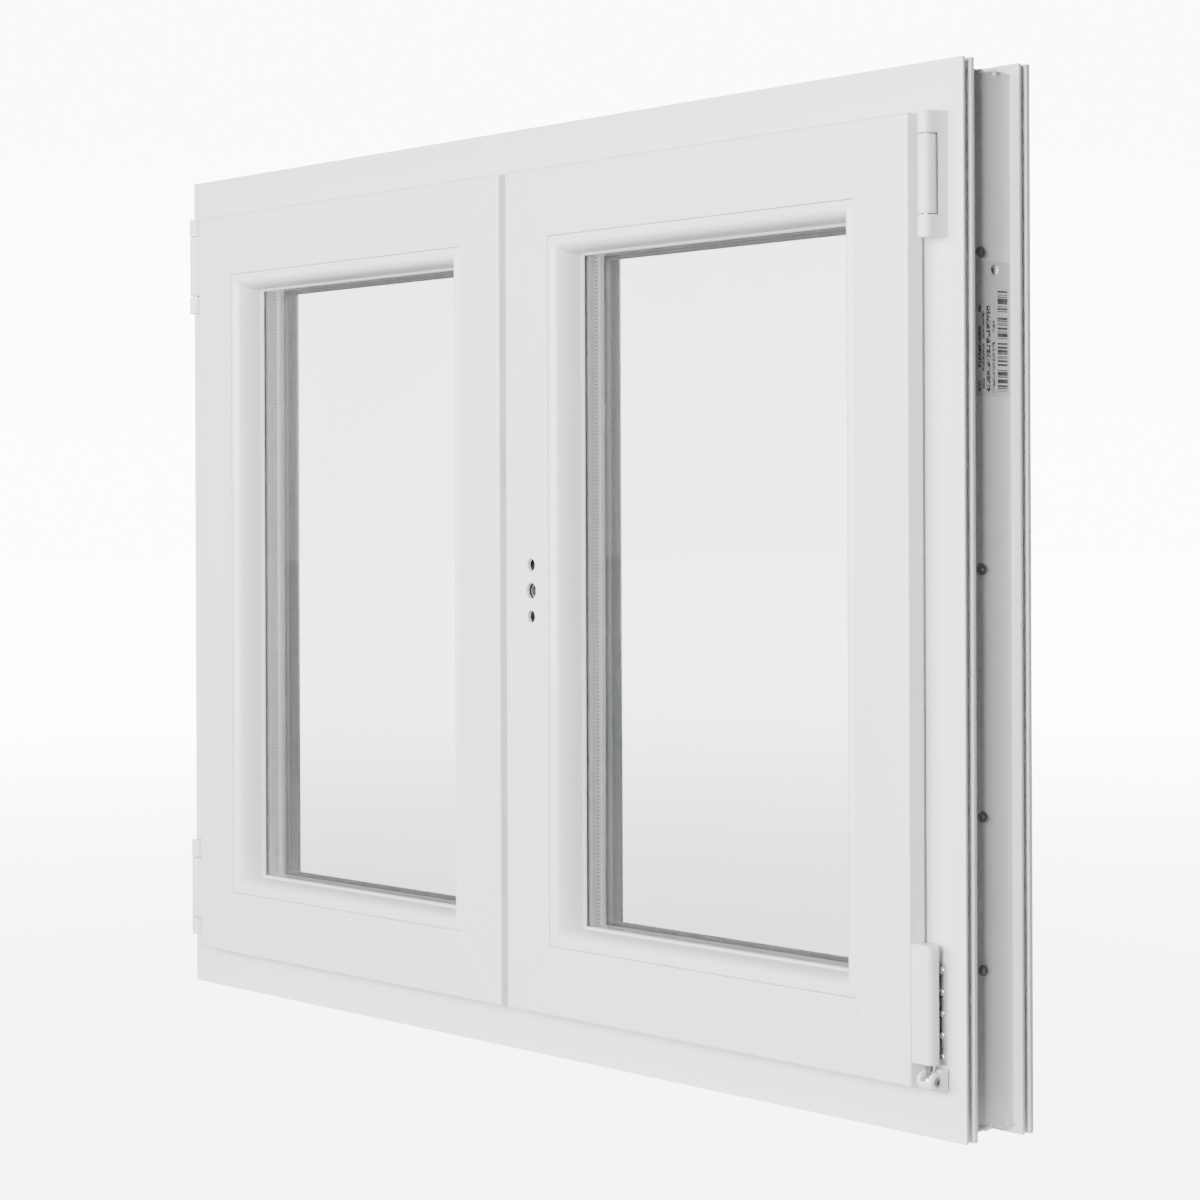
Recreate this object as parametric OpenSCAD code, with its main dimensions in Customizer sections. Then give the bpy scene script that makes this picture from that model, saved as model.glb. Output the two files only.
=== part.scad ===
// Two-leaf casement window in white hollow profiles, seen with the room on the -Y side.
// The right leaf turns and tilts, the left leaf turns and is held by two flush bolts.
// Sections are drawn as (u, y): u runs inwards from the outer edge, y outwards from the frame's room face.

/* [Frame] */
// Overall width of the frame
frame_w = 1046; // [900:1:1600]
// Overall height of the frame
frame_h = 780; // [700:1:1500]
// Depth of the frame from room to outside
frame_d = 70; // [68:1:90]
// Width of the frame's room leg
room_leg = 46; // [44:1:56]
// Height of the outer stop above the outer edge
stop_leg = 66; // [62:1:76]
// Thickness of the outer stop
stop_t = 15; // [12:0.5:16]
// Depth of the recess around the outer edge
recess = 7.8; // [5:0.1:9]
// Width of each outer edge flange
edge_flange = 12; // [11:0.5:14]
// Depth of the groove in each edge flange
edge_groove = 3; // [1:0.5:4]
// Far side of that groove, from the frame's face
groove_back = 8.6; // [7:0.1:9.5]
// Wall thickness of every profile
wall = 3; // [2:0.1:3.2]

/* [Leaves] */
// Frame width left visible around the leaves
leaf_margin = 38; // [34:0.5:40]
// How far the leaves stand in front of the frame
leaf_proud = 18.5; // [17:0.5:22]
// Depth of the leaf profile
leaf_d = 70; // [64:1:72]
// Thickness of the leaf's overlapping flange
flange_t = 15; // [12:0.5:16]
// Width of the leaf's overlapping flange
flange_w = 20; // [18:0.5:22]
// Width of the leaf's flat face up to the bead
leaf_face = 57.5; // [52:0.5:80]
// Gap between the faces of the two leaves
meeting_gap = 9; // [9:0.5:12]
// Edge radius of the leaf
leaf_round = 2.2; // [0.5:0.1:3]
// Thickness of the leaf's outer glazing leg
glazing_leg = 14.5; // [10:0.5:16]

/* [Glazing] */
// Thickness of one pane
pane_t = 4; // [3:0.5:6]
// Cavity between the panes
cavity = 16; // [10:1:18]
// Thickness of each glazing gasket
gasket_t = 3; // [2:0.5:4]
// Width of the glazing bead
bead_w = 14.2; // [12:0.1:20]
// Space between the pane's edge and its rebate
edge_space = 5.2; // [4:0.1:6]
// Depth of the sealant behind the spacer bar
sealant = 4; // [3:0.1:5]
// Height of the spacer bar
spacer_h = 6.6; // [5:0.1:8]
// Length of a setting block
block_l = 100; // [60:1:120]
// Steel thickness of the reinforcement
steel_t = 1.5; // [1:0.1:2.5]

/* [Hinges] */
// Distance of the hinge axes from the frame's outer edge
axis_in = 24.7; // [22:0.1:28]
// Distance of the hinge axes in front of the frame
axis_front = 11.5; // [10.5:0.1:12.5]
// Radius of the hinge knuckles
knuckle_r = 7; // [5.5:0.1:7.4]
// Length of the middle knuckle
mid_knuckle = 59; // [40:1:70]
// Length of each end knuckle
end_knuckle = 16; // [10:1:20]
// Radius of the hinge pins
pin_r = 3; // [2:0.1:4]
// Height of the hinge tops above the leaf's top edge
hinge_rise = 0; // [-1:0.5:6]
// Height of the bottom band of the tilting leaf
band_h = 86; // [60:1:110]
// Radius of the bottom pivot ball
ball_r = 5; // [4:0.1:5.2]
// Radius of the bottom bearing's barrel
barrel_r = 6.8; // [6.4:0.1:7]
// Length of the tilt stay arm
stay_l = 268; // [200:1:300]

/* [Handle gear] */
// Distance of the handle spindle from the leaf's edge
backset = 35; // [33:0.5:40]
// Distance between the two handle screw holes
handle_pitch = 43; // [43:1:43]
// Radius of the handle screw holes in the face
handle_hole_r = 5; // [4:0.1:5.5]
// Radius of the spindle hole in the face
spindle_hole_r = 6.5; // [6:0.1:7]
// Side of the square spindle
spindle_sq = 7; // [7:1:8]
// Radius of the gear hub
hub_r = 9; // [8:0.1:10]
// Travel of the drive rod either way
rod_travel = 18; // [12:1:18]
// Radius of the locking cams
cam_r = 4.5; // [3.5:0.1:4.5]
// Radius of the flush bolts
bolt_r = 4; // [3:0.1:4.5]
// Throw of the flush bolts
bolt_throw = 18; // [14:1:20]

/* [Fits] */
// Radial clearance of pins in turning bores
run_clear = 0.05; // [0.02:0.01:0.1]
// Gap between pieces that pass each other
pass_gap = 0.3; // [0.25:0.05:0.5]
// Gap of a piece lying in its pocket
seat_gap = 0.2; // [0.1:0.05:0.3]
// Gap left between a gasket and the face it closes on
seal_gap = 0.8; // [0.6:0.1:1]
// Radius of the jamb fixing holes
fixing_r = 4; // [3:0.1:5]

/* [Hidden] */

white = "white";
eps = 0.01;
cap_t = 2;
y_shift = -(frame_d + cap_t - leaf_proud) / 2;
rebate_y = frame_d - stop_t;

// Leaf depth places
face_y = -leaf_proud;
flange_back = face_y + flange_t;
leaf_back = face_y + leaf_d;
leg_y = leaf_back - glazing_leg;
glass_back = leg_y - gasket_t;
glass_t = 2 * pane_t + cavity;
glass_front = glass_back - glass_t;
bead_back = glass_front - gasket_t;

// Leaf outline, right leaf; the left one is its mirror image
leaf_x0 = meeting_gap / 2;
leaf_x1 = frame_w / 2 - leaf_margin;
leaf_w = leaf_x1 - leaf_x0;
leaf_h = frame_h - 2 * leaf_margin;
leaf_z0 = leaf_margin;
leaf_z1 = frame_h - leaf_margin;
mid_x = (leaf_x0 + leaf_x1) / 2;
mid_z = frame_h / 2;
body_x = leaf_x0 + flange_w;
body_z0 = leaf_z0 + flange_w;
body_z1 = leaf_z1 - flange_w;
glass_u = leaf_face + edge_space;
bead_u = leaf_face + bead_w;
leg_u = bead_u + 3;
seal_u = glass_u + sealant;
spacer_u = seal_u + spacer_h;

// Hinge places
axis_x = frame_w / 2 - axis_in;
axis_y = -axis_front;
hinge_h = mid_knuckle + 2 * end_knuckle;
hinge_top = leaf_z1 + hinge_rise;
hinge_low = hinge_top - hinge_h;
bracket_t = 4;
bracket_half = 9.5;
ball_z = leaf_z0 + 6;
block_top = ball_z + 8.2;
block_low = ball_z - 8.4;
band_z = block_top + 3.8;
band_r = knuckle_r - 0.6;
left_hinge_z = [ball_z + 5, hinge_low];
tab_t = 1.6;
tab_y0 = flange_back + 0.75;
tab_y1 = tab_y0 + tab_t;

// Gear places
gear_y = flange_back + 13;
gear_t = 12;
plate_w = 16;
plate_t = 2.5;
rod_w = 14;
rod_t = 2.2;
profile_x = leaf_x0 + 2;
plate_x = profile_x + plate_t;
rod_x = plate_x + rod_t + seat_gap;
hub_x = leaf_x0 + backset;
gear_h = 110;
cam_z = [mid_z - 220, mid_z + 110, mid_z + 230];
cam_tip = -0.5;
keep_tip = 1.5;
keep_l = 22;
bolt_x = -(leaf_x0 + flange_w / 2);
lip_t = 1.2;
left_lip_x = 1;
right_lip_x = 1.6;

// Reinforcement and screw places
chamber_u0 = recess + 4.2;
chamber_u1 = room_leg - wall - 0.5;
chamber_y0 = 18;
chamber_y1 = rebate_y - wall;
jamb_screw_z = [122, 233, frame_h - 368, frame_h - 139];
screw_y = 25;
screw_r = 1.95;
screw_head_r = 4.2;
fixing_y = 40;
fixing_z = frame_h - 151;
label_w = 34;
label_h = 98;

// ---------- shared construction ----------

// Moves a piece from profile places to the part's own origin
module in_place() translate([0, y_shift, 0]) children();

// Mirrors a piece of the right leaf to the left leaf
module for_leaf(side) mirror([side < 0 ? 1 : 0, 0, 0]) children();

function arc_points(cu, cy, r, from, to, steps = 5) =
    [for (i = [0:steps]) let (a = from + (to - from) * i / steps) [cu + r * cos(a), cy + r * sin(a)]];

// A bar along X with mitred ends, its outer edge on Z = 0; the child is its section
module mitred_bar(length, reach) {
    intersection() {
        rotate([0, -90, 0]) linear_extrude(height = length, center = true) children();
        rotate([90, 0, 0]) linear_extrude(height = 4 * frame_d, center = true)
            polygon([[-length / 2, 0], [length / 2, 0], [length / 2 - reach, reach], [reach - length / 2, reach]]);
    }
}

// Turns a bottom bar to the side at this angle: 0 bottom, -90 right, 180 top, 90 left
module to_side(w, h, angle) {
    upright = abs(angle) == 90;
    rotate([0, angle, 0]) translate([0, 0, -(upright ? w : h) / 2]) children();
}

// One bar of a w by h ring centred on the origin
module ring_bar(w, h, angle, reach) {
    to_side(w, h, angle) mitred_bar(abs(angle) == 90 ? h : w, reach) children();
}

// A rectangular ring, t wide inwards from a w by h outline, from y0 to y1
module box_ring(w, h, t, y0, y1) {
    difference() {
        translate([-w / 2, y0, -h / 2]) cube([w, y1 - y0, h]);
        translate([-w / 2 + t, y0 - 1, -h / 2 + t]) cube([w - 2 * t, y1 - y0 + 2, h - 2 * t]);
    }
}

// A box from one corner to the other
module block(a, b) translate(a) cube(b - a);

// A cylinder along Y
module rod_y(r, y0, y1) translate([0, y0, 0]) rotate([-90, 0, 0]) cylinder(r = r, h = y1 - y0, $fn = 48);

// A cylinder along X
module rod_x_axis(r, x0, x1) translate([x0, 0, 0]) rotate([0, 90, 0]) cylinder(r = r, h = x1 - x0, $fn = 48);

// ---------- frame ----------

module frame_section() {
    first = edge_flange - groove_back;
    rear = frame_d - edge_flange;
    difference() {
        polygon([
            [0.5, 0], [room_leg, 0], [room_leg, rebate_y], [stop_leg, rebate_y], [stop_leg, frame_d - 2],
            [stop_leg - 2, frame_d], [0.5, frame_d], [0, frame_d - 0.5],
            [0, frame_d - first - 0.5], [edge_groove, frame_d - first - 0.9],
            [edge_groove, frame_d - groove_back - 0.6], [0, frame_d - groove_back - 0.9],
            [0, rear + 0.4], [0.4, rear], [recess, rear - 0.8], [recess, edge_flange + 0.8],
            [0.4, edge_flange], [0, edge_flange - 0.4], [0, groove_back - 0.2], [edge_groove, groove_back - 0.5],
            [edge_groove, first - 0.1], [0, first - 0.5], [0, 0.5]
        ]);
        translate([chamber_u0, chamber_y0]) square([chamber_u1 - chamber_u0, chamber_y1 - chamber_y0]);
        translate([chamber_u0, wall]) square([chamber_u1 - chamber_u0, chamber_y0 - 2 * wall]);
        translate([room_leg + 4, rebate_y + wall]) square([stop_leg - room_leg - 4 - wall, stop_t - 2 * wall]);
    }
}

module frame_bar(angle) {
    translate([0, 0, mid_z]) ring_bar(frame_w, frame_h, angle, stop_leg) frame_section();
}

// Repeats the child at each jamb screw, for the right jamb; the child points along +X
module at_jamb_screws(side) {
    for (z = jamb_screw_z) for_leaf(side) translate([frame_w / 2 - recess, screw_y, z]) children();
}

// Repeats the child at each screw of the head or the sill; the child points along +X
module at_rail_screws(top) {
    pitch = 250;
    n = floor((frame_w - 2 * 180) / pitch);
    for (i = [0:n]) translate([(i - n / 2) * pitch, screw_y, top ? frame_h - recess : recess])
        rotate([0, top ? -90 : 90, 0]) children();
}

module screw_hole() rod_x_axis(screw_r, -12, 1);
// The left jamb is the right jamb's bar turned end for end, so its hole is at the other end
module fixing_hole(side) for_leaf(side) translate([0, fixing_y, side > 0 ? fixing_z : frame_h - fixing_z])
    rod_x_axis(fixing_r, frame_w / 2 - room_leg - 1, frame_w / 2);
module bolt_holes() for (z = [room_leg - 14, frame_h - room_leg - 1]) translate([bolt_x, gear_y, z])
    cylinder(r = bolt_r + 0.5, h = 15, $fn = 48);

module frame_head() color(white) in_place() difference() {
    frame_bar(180);
    at_rail_screws(true) screw_hole();
    bolt_holes();
}
module frame_sill() color(white) in_place() difference() {
    frame_bar(0);
    at_rail_screws(false) screw_hole();
    bolt_holes();
}
module frame_jamb_left() color(white) in_place() difference() {
    frame_bar(90);
    at_jamb_screws(-1) screw_hole();
    fixing_hole(-1);
}
module frame_jamb_right() color(white) in_place() difference() {
    frame_bar(-90);
    at_jamb_screws(1) screw_hole();
    fixing_hole(1);
}

// A square steel tube of the given outer size
module tube_section(w, d) difference() {
    square([w, d]);
    translate([steel_t, steel_t]) square([w - 2 * steel_t, d - 2 * steel_t]);
}

module frame_steel(angle) {
    run = (abs(angle) == 90 ? frame_h : frame_w) - 2 * (stop_leg + 10);
    translate([0, 0, mid_z]) to_side(frame_w, frame_h, angle) rotate([0, -90, 0])
        linear_extrude(height = run, center = true)
            translate([chamber_u0 + seat_gap, chamber_y0 + seat_gap])
                tube_section(chamber_u1 - chamber_u0 - 2 * seat_gap, chamber_y1 - chamber_y0 - 2 * seat_gap);
}

module frame_reinforcement() color("silver") in_place() difference() {
    for (a = [0, -90, 180, 90]) frame_steel(a);
    for (side = [-1, 1]) {
        at_jamb_screws(side) screw_hole();
        fixing_hole(side);
    }
    for (top = [true, false]) at_rail_screws(top) screw_hole();
    bolt_holes();
}

// A self-drilling screw along +X, its domed head outside
module reinforcement_screw() difference() {
    union() {
        rod_x_axis(screw_r - run_clear, -9, eps);
        rod_x_axis(screw_head_r, 0, 1.2);
        rod_x_axis(screw_head_r - 1, 1.2, 2.2);
    }
    rod_x_axis(1.5, 1, 3);
}

module reinforcement_screws() color("dimgray") in_place() {
    for (side = [-1, 1]) at_jamb_screws(side) reinforcement_screw();
    for (top = [true, false]) at_rail_screws(top) reinforcement_screw();
}

module frame_gasket() color("gray") in_place() translate([0, 0, mid_z])
    box_ring(frame_w - 2 * (stop_leg - 6), frame_h - 2 * (stop_leg - 6), 5, leaf_back + seal_gap / 2, rebate_y);

module drain_caps() color(white) in_place() for (x = [-0.3, 0.3])
    translate([x * frame_w, frame_d, 30]) difference() {
        block([-21, 0, -6], [21, cap_t, 6]);
        block([-17, -1, -3.5], [17, cap_t - 0.8, 7]);
    }

module at_frame_keeps() for (top = [0, 1])
    translate([bolt_x, gear_y, top ? frame_h - room_leg : room_leg]) mirror([0, 0, top]) children();

module frame_keeps() color("silver") in_place() at_frame_keeps() difference() {
    block([-22, -8, 0], [22, 8, 2]);
    translate([0, 0, -1]) cylinder(r = bolt_r + 0.5, h = 4, $fn = 48);
    for (x = [-16, 16]) translate([x, 0, -1]) cylinder(r = 2, h = 4, $fn = 32);
}

module keep_screws() color("silver") in_place() at_frame_keeps()
    for (x = [-16, 16]) translate([x, 0, 0]) {
        cylinder(r = 2 - run_clear, h = 2 + eps, $fn = 32);
        translate([0, 0, 2]) cylinder(r = 3.4, h = 1, $fn = 32);
    }

module type_label() color("whitesmoke") in_place() difference() {
    translate([frame_w / 2 - recess, 21, fixing_z + 6 - label_h]) cube([0.3, label_w, label_h]);
    translate([0, fixing_y, fixing_z]) rod_x_axis(fixing_r, frame_w / 2 - recess - 1, frame_w / 2);
}

// ---------- hinges ----------

// The fixed bracket of a three-knuckle hinge, its lower end on Z = 0 at the axis
module hinge_bracket() difference() {
    union() {
        block([-bracket_half, -bracket_t, 0], [bracket_half, 0, end_knuckle]);
        block([1, -bracket_t, 0], [bracket_half, 0, hinge_h]);
        block([-bracket_half, -bracket_t, hinge_h - end_knuckle], [bracket_half, 0, hinge_h]);
        for (z = [0, hinge_h - end_knuckle]) translate([0, axis_y, z]) {
            cylinder(r = knuckle_r, h = end_knuckle, $fn = 64);
            translate([-knuckle_r, 0, 0]) cube([2 * knuckle_r, axis_front - bracket_t + eps, end_knuckle]);
        }
    }
    translate([0, axis_y, 2]) cylinder(r = pin_r, h = hinge_h - 4, $fn = 48);
}

// The pin held in both end knuckles
module hinge_pin() translate([0, axis_y, 2]) cylinder(r = pin_r, h = hinge_h - 4, $fn = 48);

// The turning middle knuckle with its bore
module middle_knuckle() {
    h = mid_knuckle - 2 * pass_gap;
    translate([0, axis_y, end_knuckle + pass_gap]) difference() {
        cylinder(r = knuckle_r - 0.2, h = h, $fn = 64);
        translate([0, 0, -1]) cylinder(r = pin_r + run_clear, h = h + 2, $fn = 48);
    }
}

// A solid bridge from the middle knuckle to the leaf's edge
module knuckle_bridge() {
    h = mid_knuckle - 2 * pass_gap;
    translate([0, axis_y, end_knuckle + pass_gap]) difference() {
        block([-(axis_x - leaf_x1), -knuckle_r + 1.5, 0], [0, knuckle_r - 2, h]);
        translate([0, 0, -1]) cylinder(r = knuckle_r - 0.5, h = h + 2, $fn = 64);
    }
}

module stay_bearing() color(white) in_place() translate([axis_x, 0, hinge_low]) hinge_bracket();
module stay_bearing_pin() color("silver") in_place() translate([axis_x, 0, hinge_low]) hinge_pin();

module left_hinge_brackets() color(white) in_place() for_leaf(-1)
    for (z = left_hinge_z) translate([axis_x, 0, z]) hinge_bracket();
module left_hinge_pins() color("silver") in_place() for_leaf(-1)
    for (z = left_hinge_z) translate([axis_x, 0, z]) hinge_pin();
module left_hinge_bands() color(white) in_place() for_leaf(-1)
    for (z = left_hinge_z) translate([axis_x, 0, z]) union() {
        middle_knuckle();
        knuckle_bridge();
    }

// The bottom bearing of the tilting leaf: a lying barrel with a ball socket and a slot for the pin
barrel_x0 = -8;
barrel_x1 = 7.8;
module corner_bearing() color(white) in_place() translate([axis_x, 0, 0]) difference() {
    union() {
        translate([0, axis_y, ball_z]) rod_x_axis(barrel_r, barrel_x0, barrel_x1);
        hull() for (z = [block_low + 1.5, block_top - 1.5]) translate([0, 0, z]) {
            translate([0, -7.5, 0]) rod_x_axis(1.5, barrel_x0, barrel_x1);
            block([barrel_x0, -1.5, -1.5], [barrel_x1, 0, 1.5]);
        }
    }
    translate([0, axis_y, ball_z]) sphere(r = ball_r + run_clear, $fn = 64);
    translate([0, axis_y, ball_z]) block([-slot_half, -slot_half - 1, 0], [slot_half + 1, slot_half, 10]);
    translate([0, axis_y, ball_z]) rod_x_axis(side_screw_r, barrel_x1 - 2, barrel_x1 + 1);
}
slot_half = pin_r + 1;
side_screw_r = 3.6;

// The adjusting screw in the barrel's end, with a hexagon socket
module bearing_screw() color("dimgray") in_place() translate([axis_x, axis_y, ball_z]) difference() {
    rod_x_axis(side_screw_r - run_clear, barrel_x1 - 2, barrel_x1 - 0.5);
    translate([barrel_x1 - 1.5, 0, 0]) rotate([0, 90, 0]) cylinder(r = 2, h = 2, $fn = 6);
}

// The riveted plate above the bearing, rounded at its top
plate_x0 = -4;
plate_x1 = 6.1;
rivet_pitch = 15.6;
module corner_plate() color("silver") in_place() translate([axis_x, 0, band_z - 1.5]) {
    block([plate_x0, -2, 0], [plate_x1, 0, 71]);
    intersection() {
        translate([(plate_x0 + plate_x1) / 2, 0, 70]) rod_y((plate_x1 - plate_x0) / 2, -2, 0);
        block([plate_x0, -2, 69], [plate_x1, 0, 76]);
    }
    for (i = [0:4]) translate([2.9, 0, 6 + i * rivet_pitch]) {
        rod_y(2.9, -3, -2 + eps);
        rod_y(2.1, -3.5, -3 + eps);
    }
}

// ---------- leaves ----------

module leaf_section() difference() {
    polygon(concat(
        arc_points(leaf_round, face_y + leaf_round, leaf_round, 180, 270),
        [[leaf_face - 0.5, face_y], [leaf_face, face_y + 0.5], [leaf_face, leg_y], [leg_u, leg_y],
         [leg_u, leaf_back - 6], [leg_u - 5, leaf_back], [flange_w, leaf_back], [flange_w, flange_back]],
        [[0.8, flange_back], [0, flange_back - 0.8]]
    ));
    translate([flange_w + wall, face_y + wall])
        square([leaf_face - flange_w - 2 * wall, gear_y + gear_t / 2 + 1 - face_y - wall]);
    translate([flange_w + wall, steel_y0]) square([leaf_face - flange_w - 2 * wall, steel_y1 - steel_y0]);
}
steel_y0 = gear_y + gear_t / 2 + 1 + 2;
steel_y1 = leaf_back - wall - 2;

// Centres a ring on the leaf
module on_leaf(side) for_leaf(side) translate([mid_x, 0, mid_z]) children();

module leaf_bar(side, angle) on_leaf(side) ring_bar(leaf_w, leaf_h, angle, leg_u) leaf_section();

module left_top_rail() color(white) in_place() leaf_bar(-1, 180);
module left_bottom_rail() color(white) in_place() leaf_bar(-1, 0);
module left_hinge_stile() color(white) in_place() leaf_bar(-1, -90);
module left_meeting_stile() color(white) in_place() leaf_bar(-1, 90);
module right_top_rail() color(white) in_place() leaf_bar(1, 180);
module right_bottom_rail() color(white) in_place() leaf_bar(1, 0);
module right_hinge_stile() color(white) in_place() leaf_bar(1, -90);
module right_meeting_stile() color(white) in_place() difference() {
    leaf_bar(1, 90);
    gear_pocket(body_x - 1, body_x + wall + 1);
    translate([hub_x, 0, mid_z]) {
        rod_y(spindle_hole_r, face_y - 1, face_y + wall + 1);
        for (s = [-1, 1]) translate([0, 0, s * handle_pitch / 2]) rod_y(handle_hole_r, face_y - 1, face_y + wall + 1);
    }
}

module leaf_steel(side) on_leaf(side) for (a = [0, -90, 180, 90]) {
    run = (abs(a) == 90 ? leaf_h : leaf_w) - 2 * (leg_u + 8);
    to_side(leaf_w, leaf_h, a) rotate([0, -90, 0]) linear_extrude(height = run, center = true)
        translate([flange_w + wall + seat_gap, steel_y0 + seat_gap])
            tube_section(leaf_face - flange_w - 2 * wall - 2 * seat_gap, steel_y1 - steel_y0 - 2 * seat_gap);
}
module left_reinforcement() color("silver") in_place() leaf_steel(-1);
module right_reinforcement() color("silver") in_place() leaf_steel(1);

// The bead rises from the glass to the face in one convex curve
module bead_section() {
    u0 = leaf_face + seat_gap;
    depth = bead_back - face_y - 0.6;
    polygon(concat(
        [[u0, bead_back], [u0, face_y + 1]],
        [for (i = [0:12]) let (a = 90 * i / 12)
            [u0 + 2 + (bead_u - u0 - 2) * sin(a), bead_back - depth * pow(cos(a), 0.8)]]
    ));
}

// Four beads with fine mitre joints between them
module leaf_beads(side) on_leaf(side) for (a = [0, -90, 180, 90]) {
    length = abs(a) == 90 ? leaf_h : leaf_w;
    to_side(leaf_w, leaf_h, a) mitred_bar_short(length) bead_section();
}
module mitred_bar_short(length) intersection() {
    rotate([0, -90, 0]) linear_extrude(height = length, center = true) children();
    rotate([90, 0, 0]) linear_extrude(height = 4 * frame_d, center = true)
        polygon([[-length / 2 + joint, 0], [length / 2 - joint, 0], [length / 2 - joint - bead_u - 1, bead_u + 1],
                 [joint + bead_u + 1 - length / 2, bead_u + 1]]);
}
joint = 0.12;
module left_beads() color(white) in_place() leaf_beads(-1);
module right_beads() color(white) in_place() leaf_beads(1);

module pane(side, y0) on_leaf(side)
    block([-leaf_w / 2 + glass_u, y0, -leaf_h / 2 + glass_u], [leaf_w / 2 - glass_u, y0 + pane_t, leaf_h / 2 - glass_u]);
module left_room_pane() color("lightcyan", 0.4) in_place() pane(-1, glass_front);
module left_outer_pane() color("lightcyan", 0.4) in_place() pane(-1, glass_back - pane_t);
module right_room_pane() color("lightcyan", 0.4) in_place() pane(1, glass_front);
module right_outer_pane() color("lightcyan", 0.4) in_place() pane(1, glass_back - pane_t);

module cavity_ring(side, u0, u1) on_leaf(side)
    box_ring(leaf_w - 2 * u0, leaf_h - 2 * u0, u1 - u0, glass_front + pane_t, glass_back - pane_t);
module left_spacer() color("silver") in_place() cavity_ring(-1, seal_u, spacer_u);
module right_spacer() color("silver") in_place() cavity_ring(1, seal_u, spacer_u);
module left_edge_seal() color("dimgray") in_place() cavity_ring(-1, glass_u, seal_u);
module right_edge_seal() color("dimgray") in_place() cavity_ring(1, glass_u, seal_u);

module glazing_gaskets(side) on_leaf(side) {
    u0 = glass_u + 2;
    box_ring(leaf_w - 2 * u0, leaf_h - 2 * u0, bead_u + 0.7 - u0, bead_back, glass_front);
    box_ring(leaf_w - 2 * u0, leaf_h - 2 * u0, leg_u + 0.7 - u0, glass_back, leg_y);
}
module left_glazing_gaskets() color("gray") in_place() glazing_gaskets(-1);
module right_glazing_gaskets() color("gray") in_place() glazing_gaskets(1);

// Two blocks carry the pane on the bottom rail
module setting_blocks(side) on_leaf(side) for (s = [-1, 1])
    translate([s * (leaf_w / 2 - glass_u - 50 - block_l / 2), 0, -leaf_h / 2 + leaf_face])
        block([-block_l / 2, glass_front - 1, 0], [block_l / 2, glass_back + 1, edge_space]);
module left_setting_blocks() color("gray") in_place() setting_blocks(-1);
module right_setting_blocks() color("gray") in_place() setting_blocks(1);

module leaf_gasket(side) on_leaf(side)
    box_ring(leaf_w - 3, leaf_h - 3, 4.5, flange_back, -seal_gap);
module left_leaf_gasket() color("gray") in_place() leaf_gasket(-1);
// The gasket leaves room for the stay's tab
module right_leaf_gasket() color("gray") in_place() difference() {
    leaf_gasket(1);
    block([leaf_x1 - 12, flange_back - 1, hinge_low + end_knuckle - 3], [leaf_x1 + 1, 1, leaf_z1 - 7]);
}

// ---------- meeting edge ----------

module astragal_section() difference() {
    translate([-body_x, 0]) square([body_x - leaf_x0, leaf_back]);
    translate([-body_x + wall, wall]) square([body_x - leaf_x0 - 2 * wall, 2 * gear_y - 2 * wall]);
    translate([-body_x + wall, 2 * gear_y]) square([body_x - leaf_x0 - 2 * wall, leaf_back - 2 * gear_y - wall]);
}

// A closing lip of the meeting joint from x0 to x1, notched where cams and keeps pass
module meeting_lip(x0, x1) difference() {
    block([x0, 0, body_z0 + cap_t], [x1, lip_t, body_z1 - cap_t]);
    for (z = cam_z) block([x0 - 1, -1, z - rod_travel - keep_l / 2 - 1], [x1 + 1, lip_t + 1, z + rod_travel + cam_r + 1]);
}

bolt_l = 150;
tab_l = 14;
bolt_tab_in = 60;
module astragal() color(white) in_place() difference() {
    union() {
        translate([0, 0, body_z0 + cap_t]) linear_extrude(height = body_z1 - body_z0 - 2 * cap_t) astragal_section();
        meeting_lip(-leaf_x0 - 1, left_lip_x);
    }
    block([-leaf_x0 - wall - 1, gear_y - 3, body_z0 + bolt_tab_in - bolt_throw - 1],
          [-leaf_x0 + 1, gear_y + 3, body_z0 + bolt_tab_in + tab_l + 1]);
    block([-leaf_x0 - wall - 1, gear_y - 3, body_z1 - bolt_tab_in - tab_l - 1],
          [-leaf_x0 + 1, gear_y + 3, body_z1 - bolt_tab_in + bolt_throw + 1]);
}

module astragal_caps() color("gray") in_place() for (z = [body_z0, body_z1 - cap_t]) difference() {
    block([-body_x, 0, z], [-leaf_x0, leaf_back, z + cap_t]);
    translate([bolt_x, gear_y, z - 1]) cylinder(r = bolt_r + run_clear, h = cap_t + 2, $fn = 48);
}

module flush_bolt() {
    translate([bolt_x, gear_y, body_z0]) cylinder(r = bolt_r, h = bolt_l, $fn = 48);
    block([bolt_x, gear_y - 2.5, body_z0 + bolt_tab_in], [-leaf_x0 + 2.5, gear_y + 2.5, body_z0 + bolt_tab_in + tab_l]);
}
module bottom_flush_bolt() color("silver") in_place() flush_bolt();
module top_flush_bolt() color("silver") in_place() translate([0, 0, frame_h]) mirror([0, 0, 1]) flush_bolt();

module astragal_keeps() color("silver") in_place() for (z = cam_z)
    translate([-leaf_x0, gear_y, z - rod_travel]) {
        block([0, -8, -keep_l / 2], [2, 8, keep_l / 2]);
        for (s = [0, 1]) mirror([0, s, 0])
            block([2 - eps, cam_r + 0.5, -keep_l / 2], [keep_tip + leaf_x0, 8, keep_l / 2]);
    }

// The pocket for the gearbox between two x places
module gear_pocket(x0, x1) block([x0, gear_y - gear_t / 2 - seat_gap, mid_z - gear_h / 2 - seat_gap],
                                 [x1, gear_y + gear_t / 2 + seat_gap, mid_z + gear_h / 2 + seat_gap]);

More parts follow.
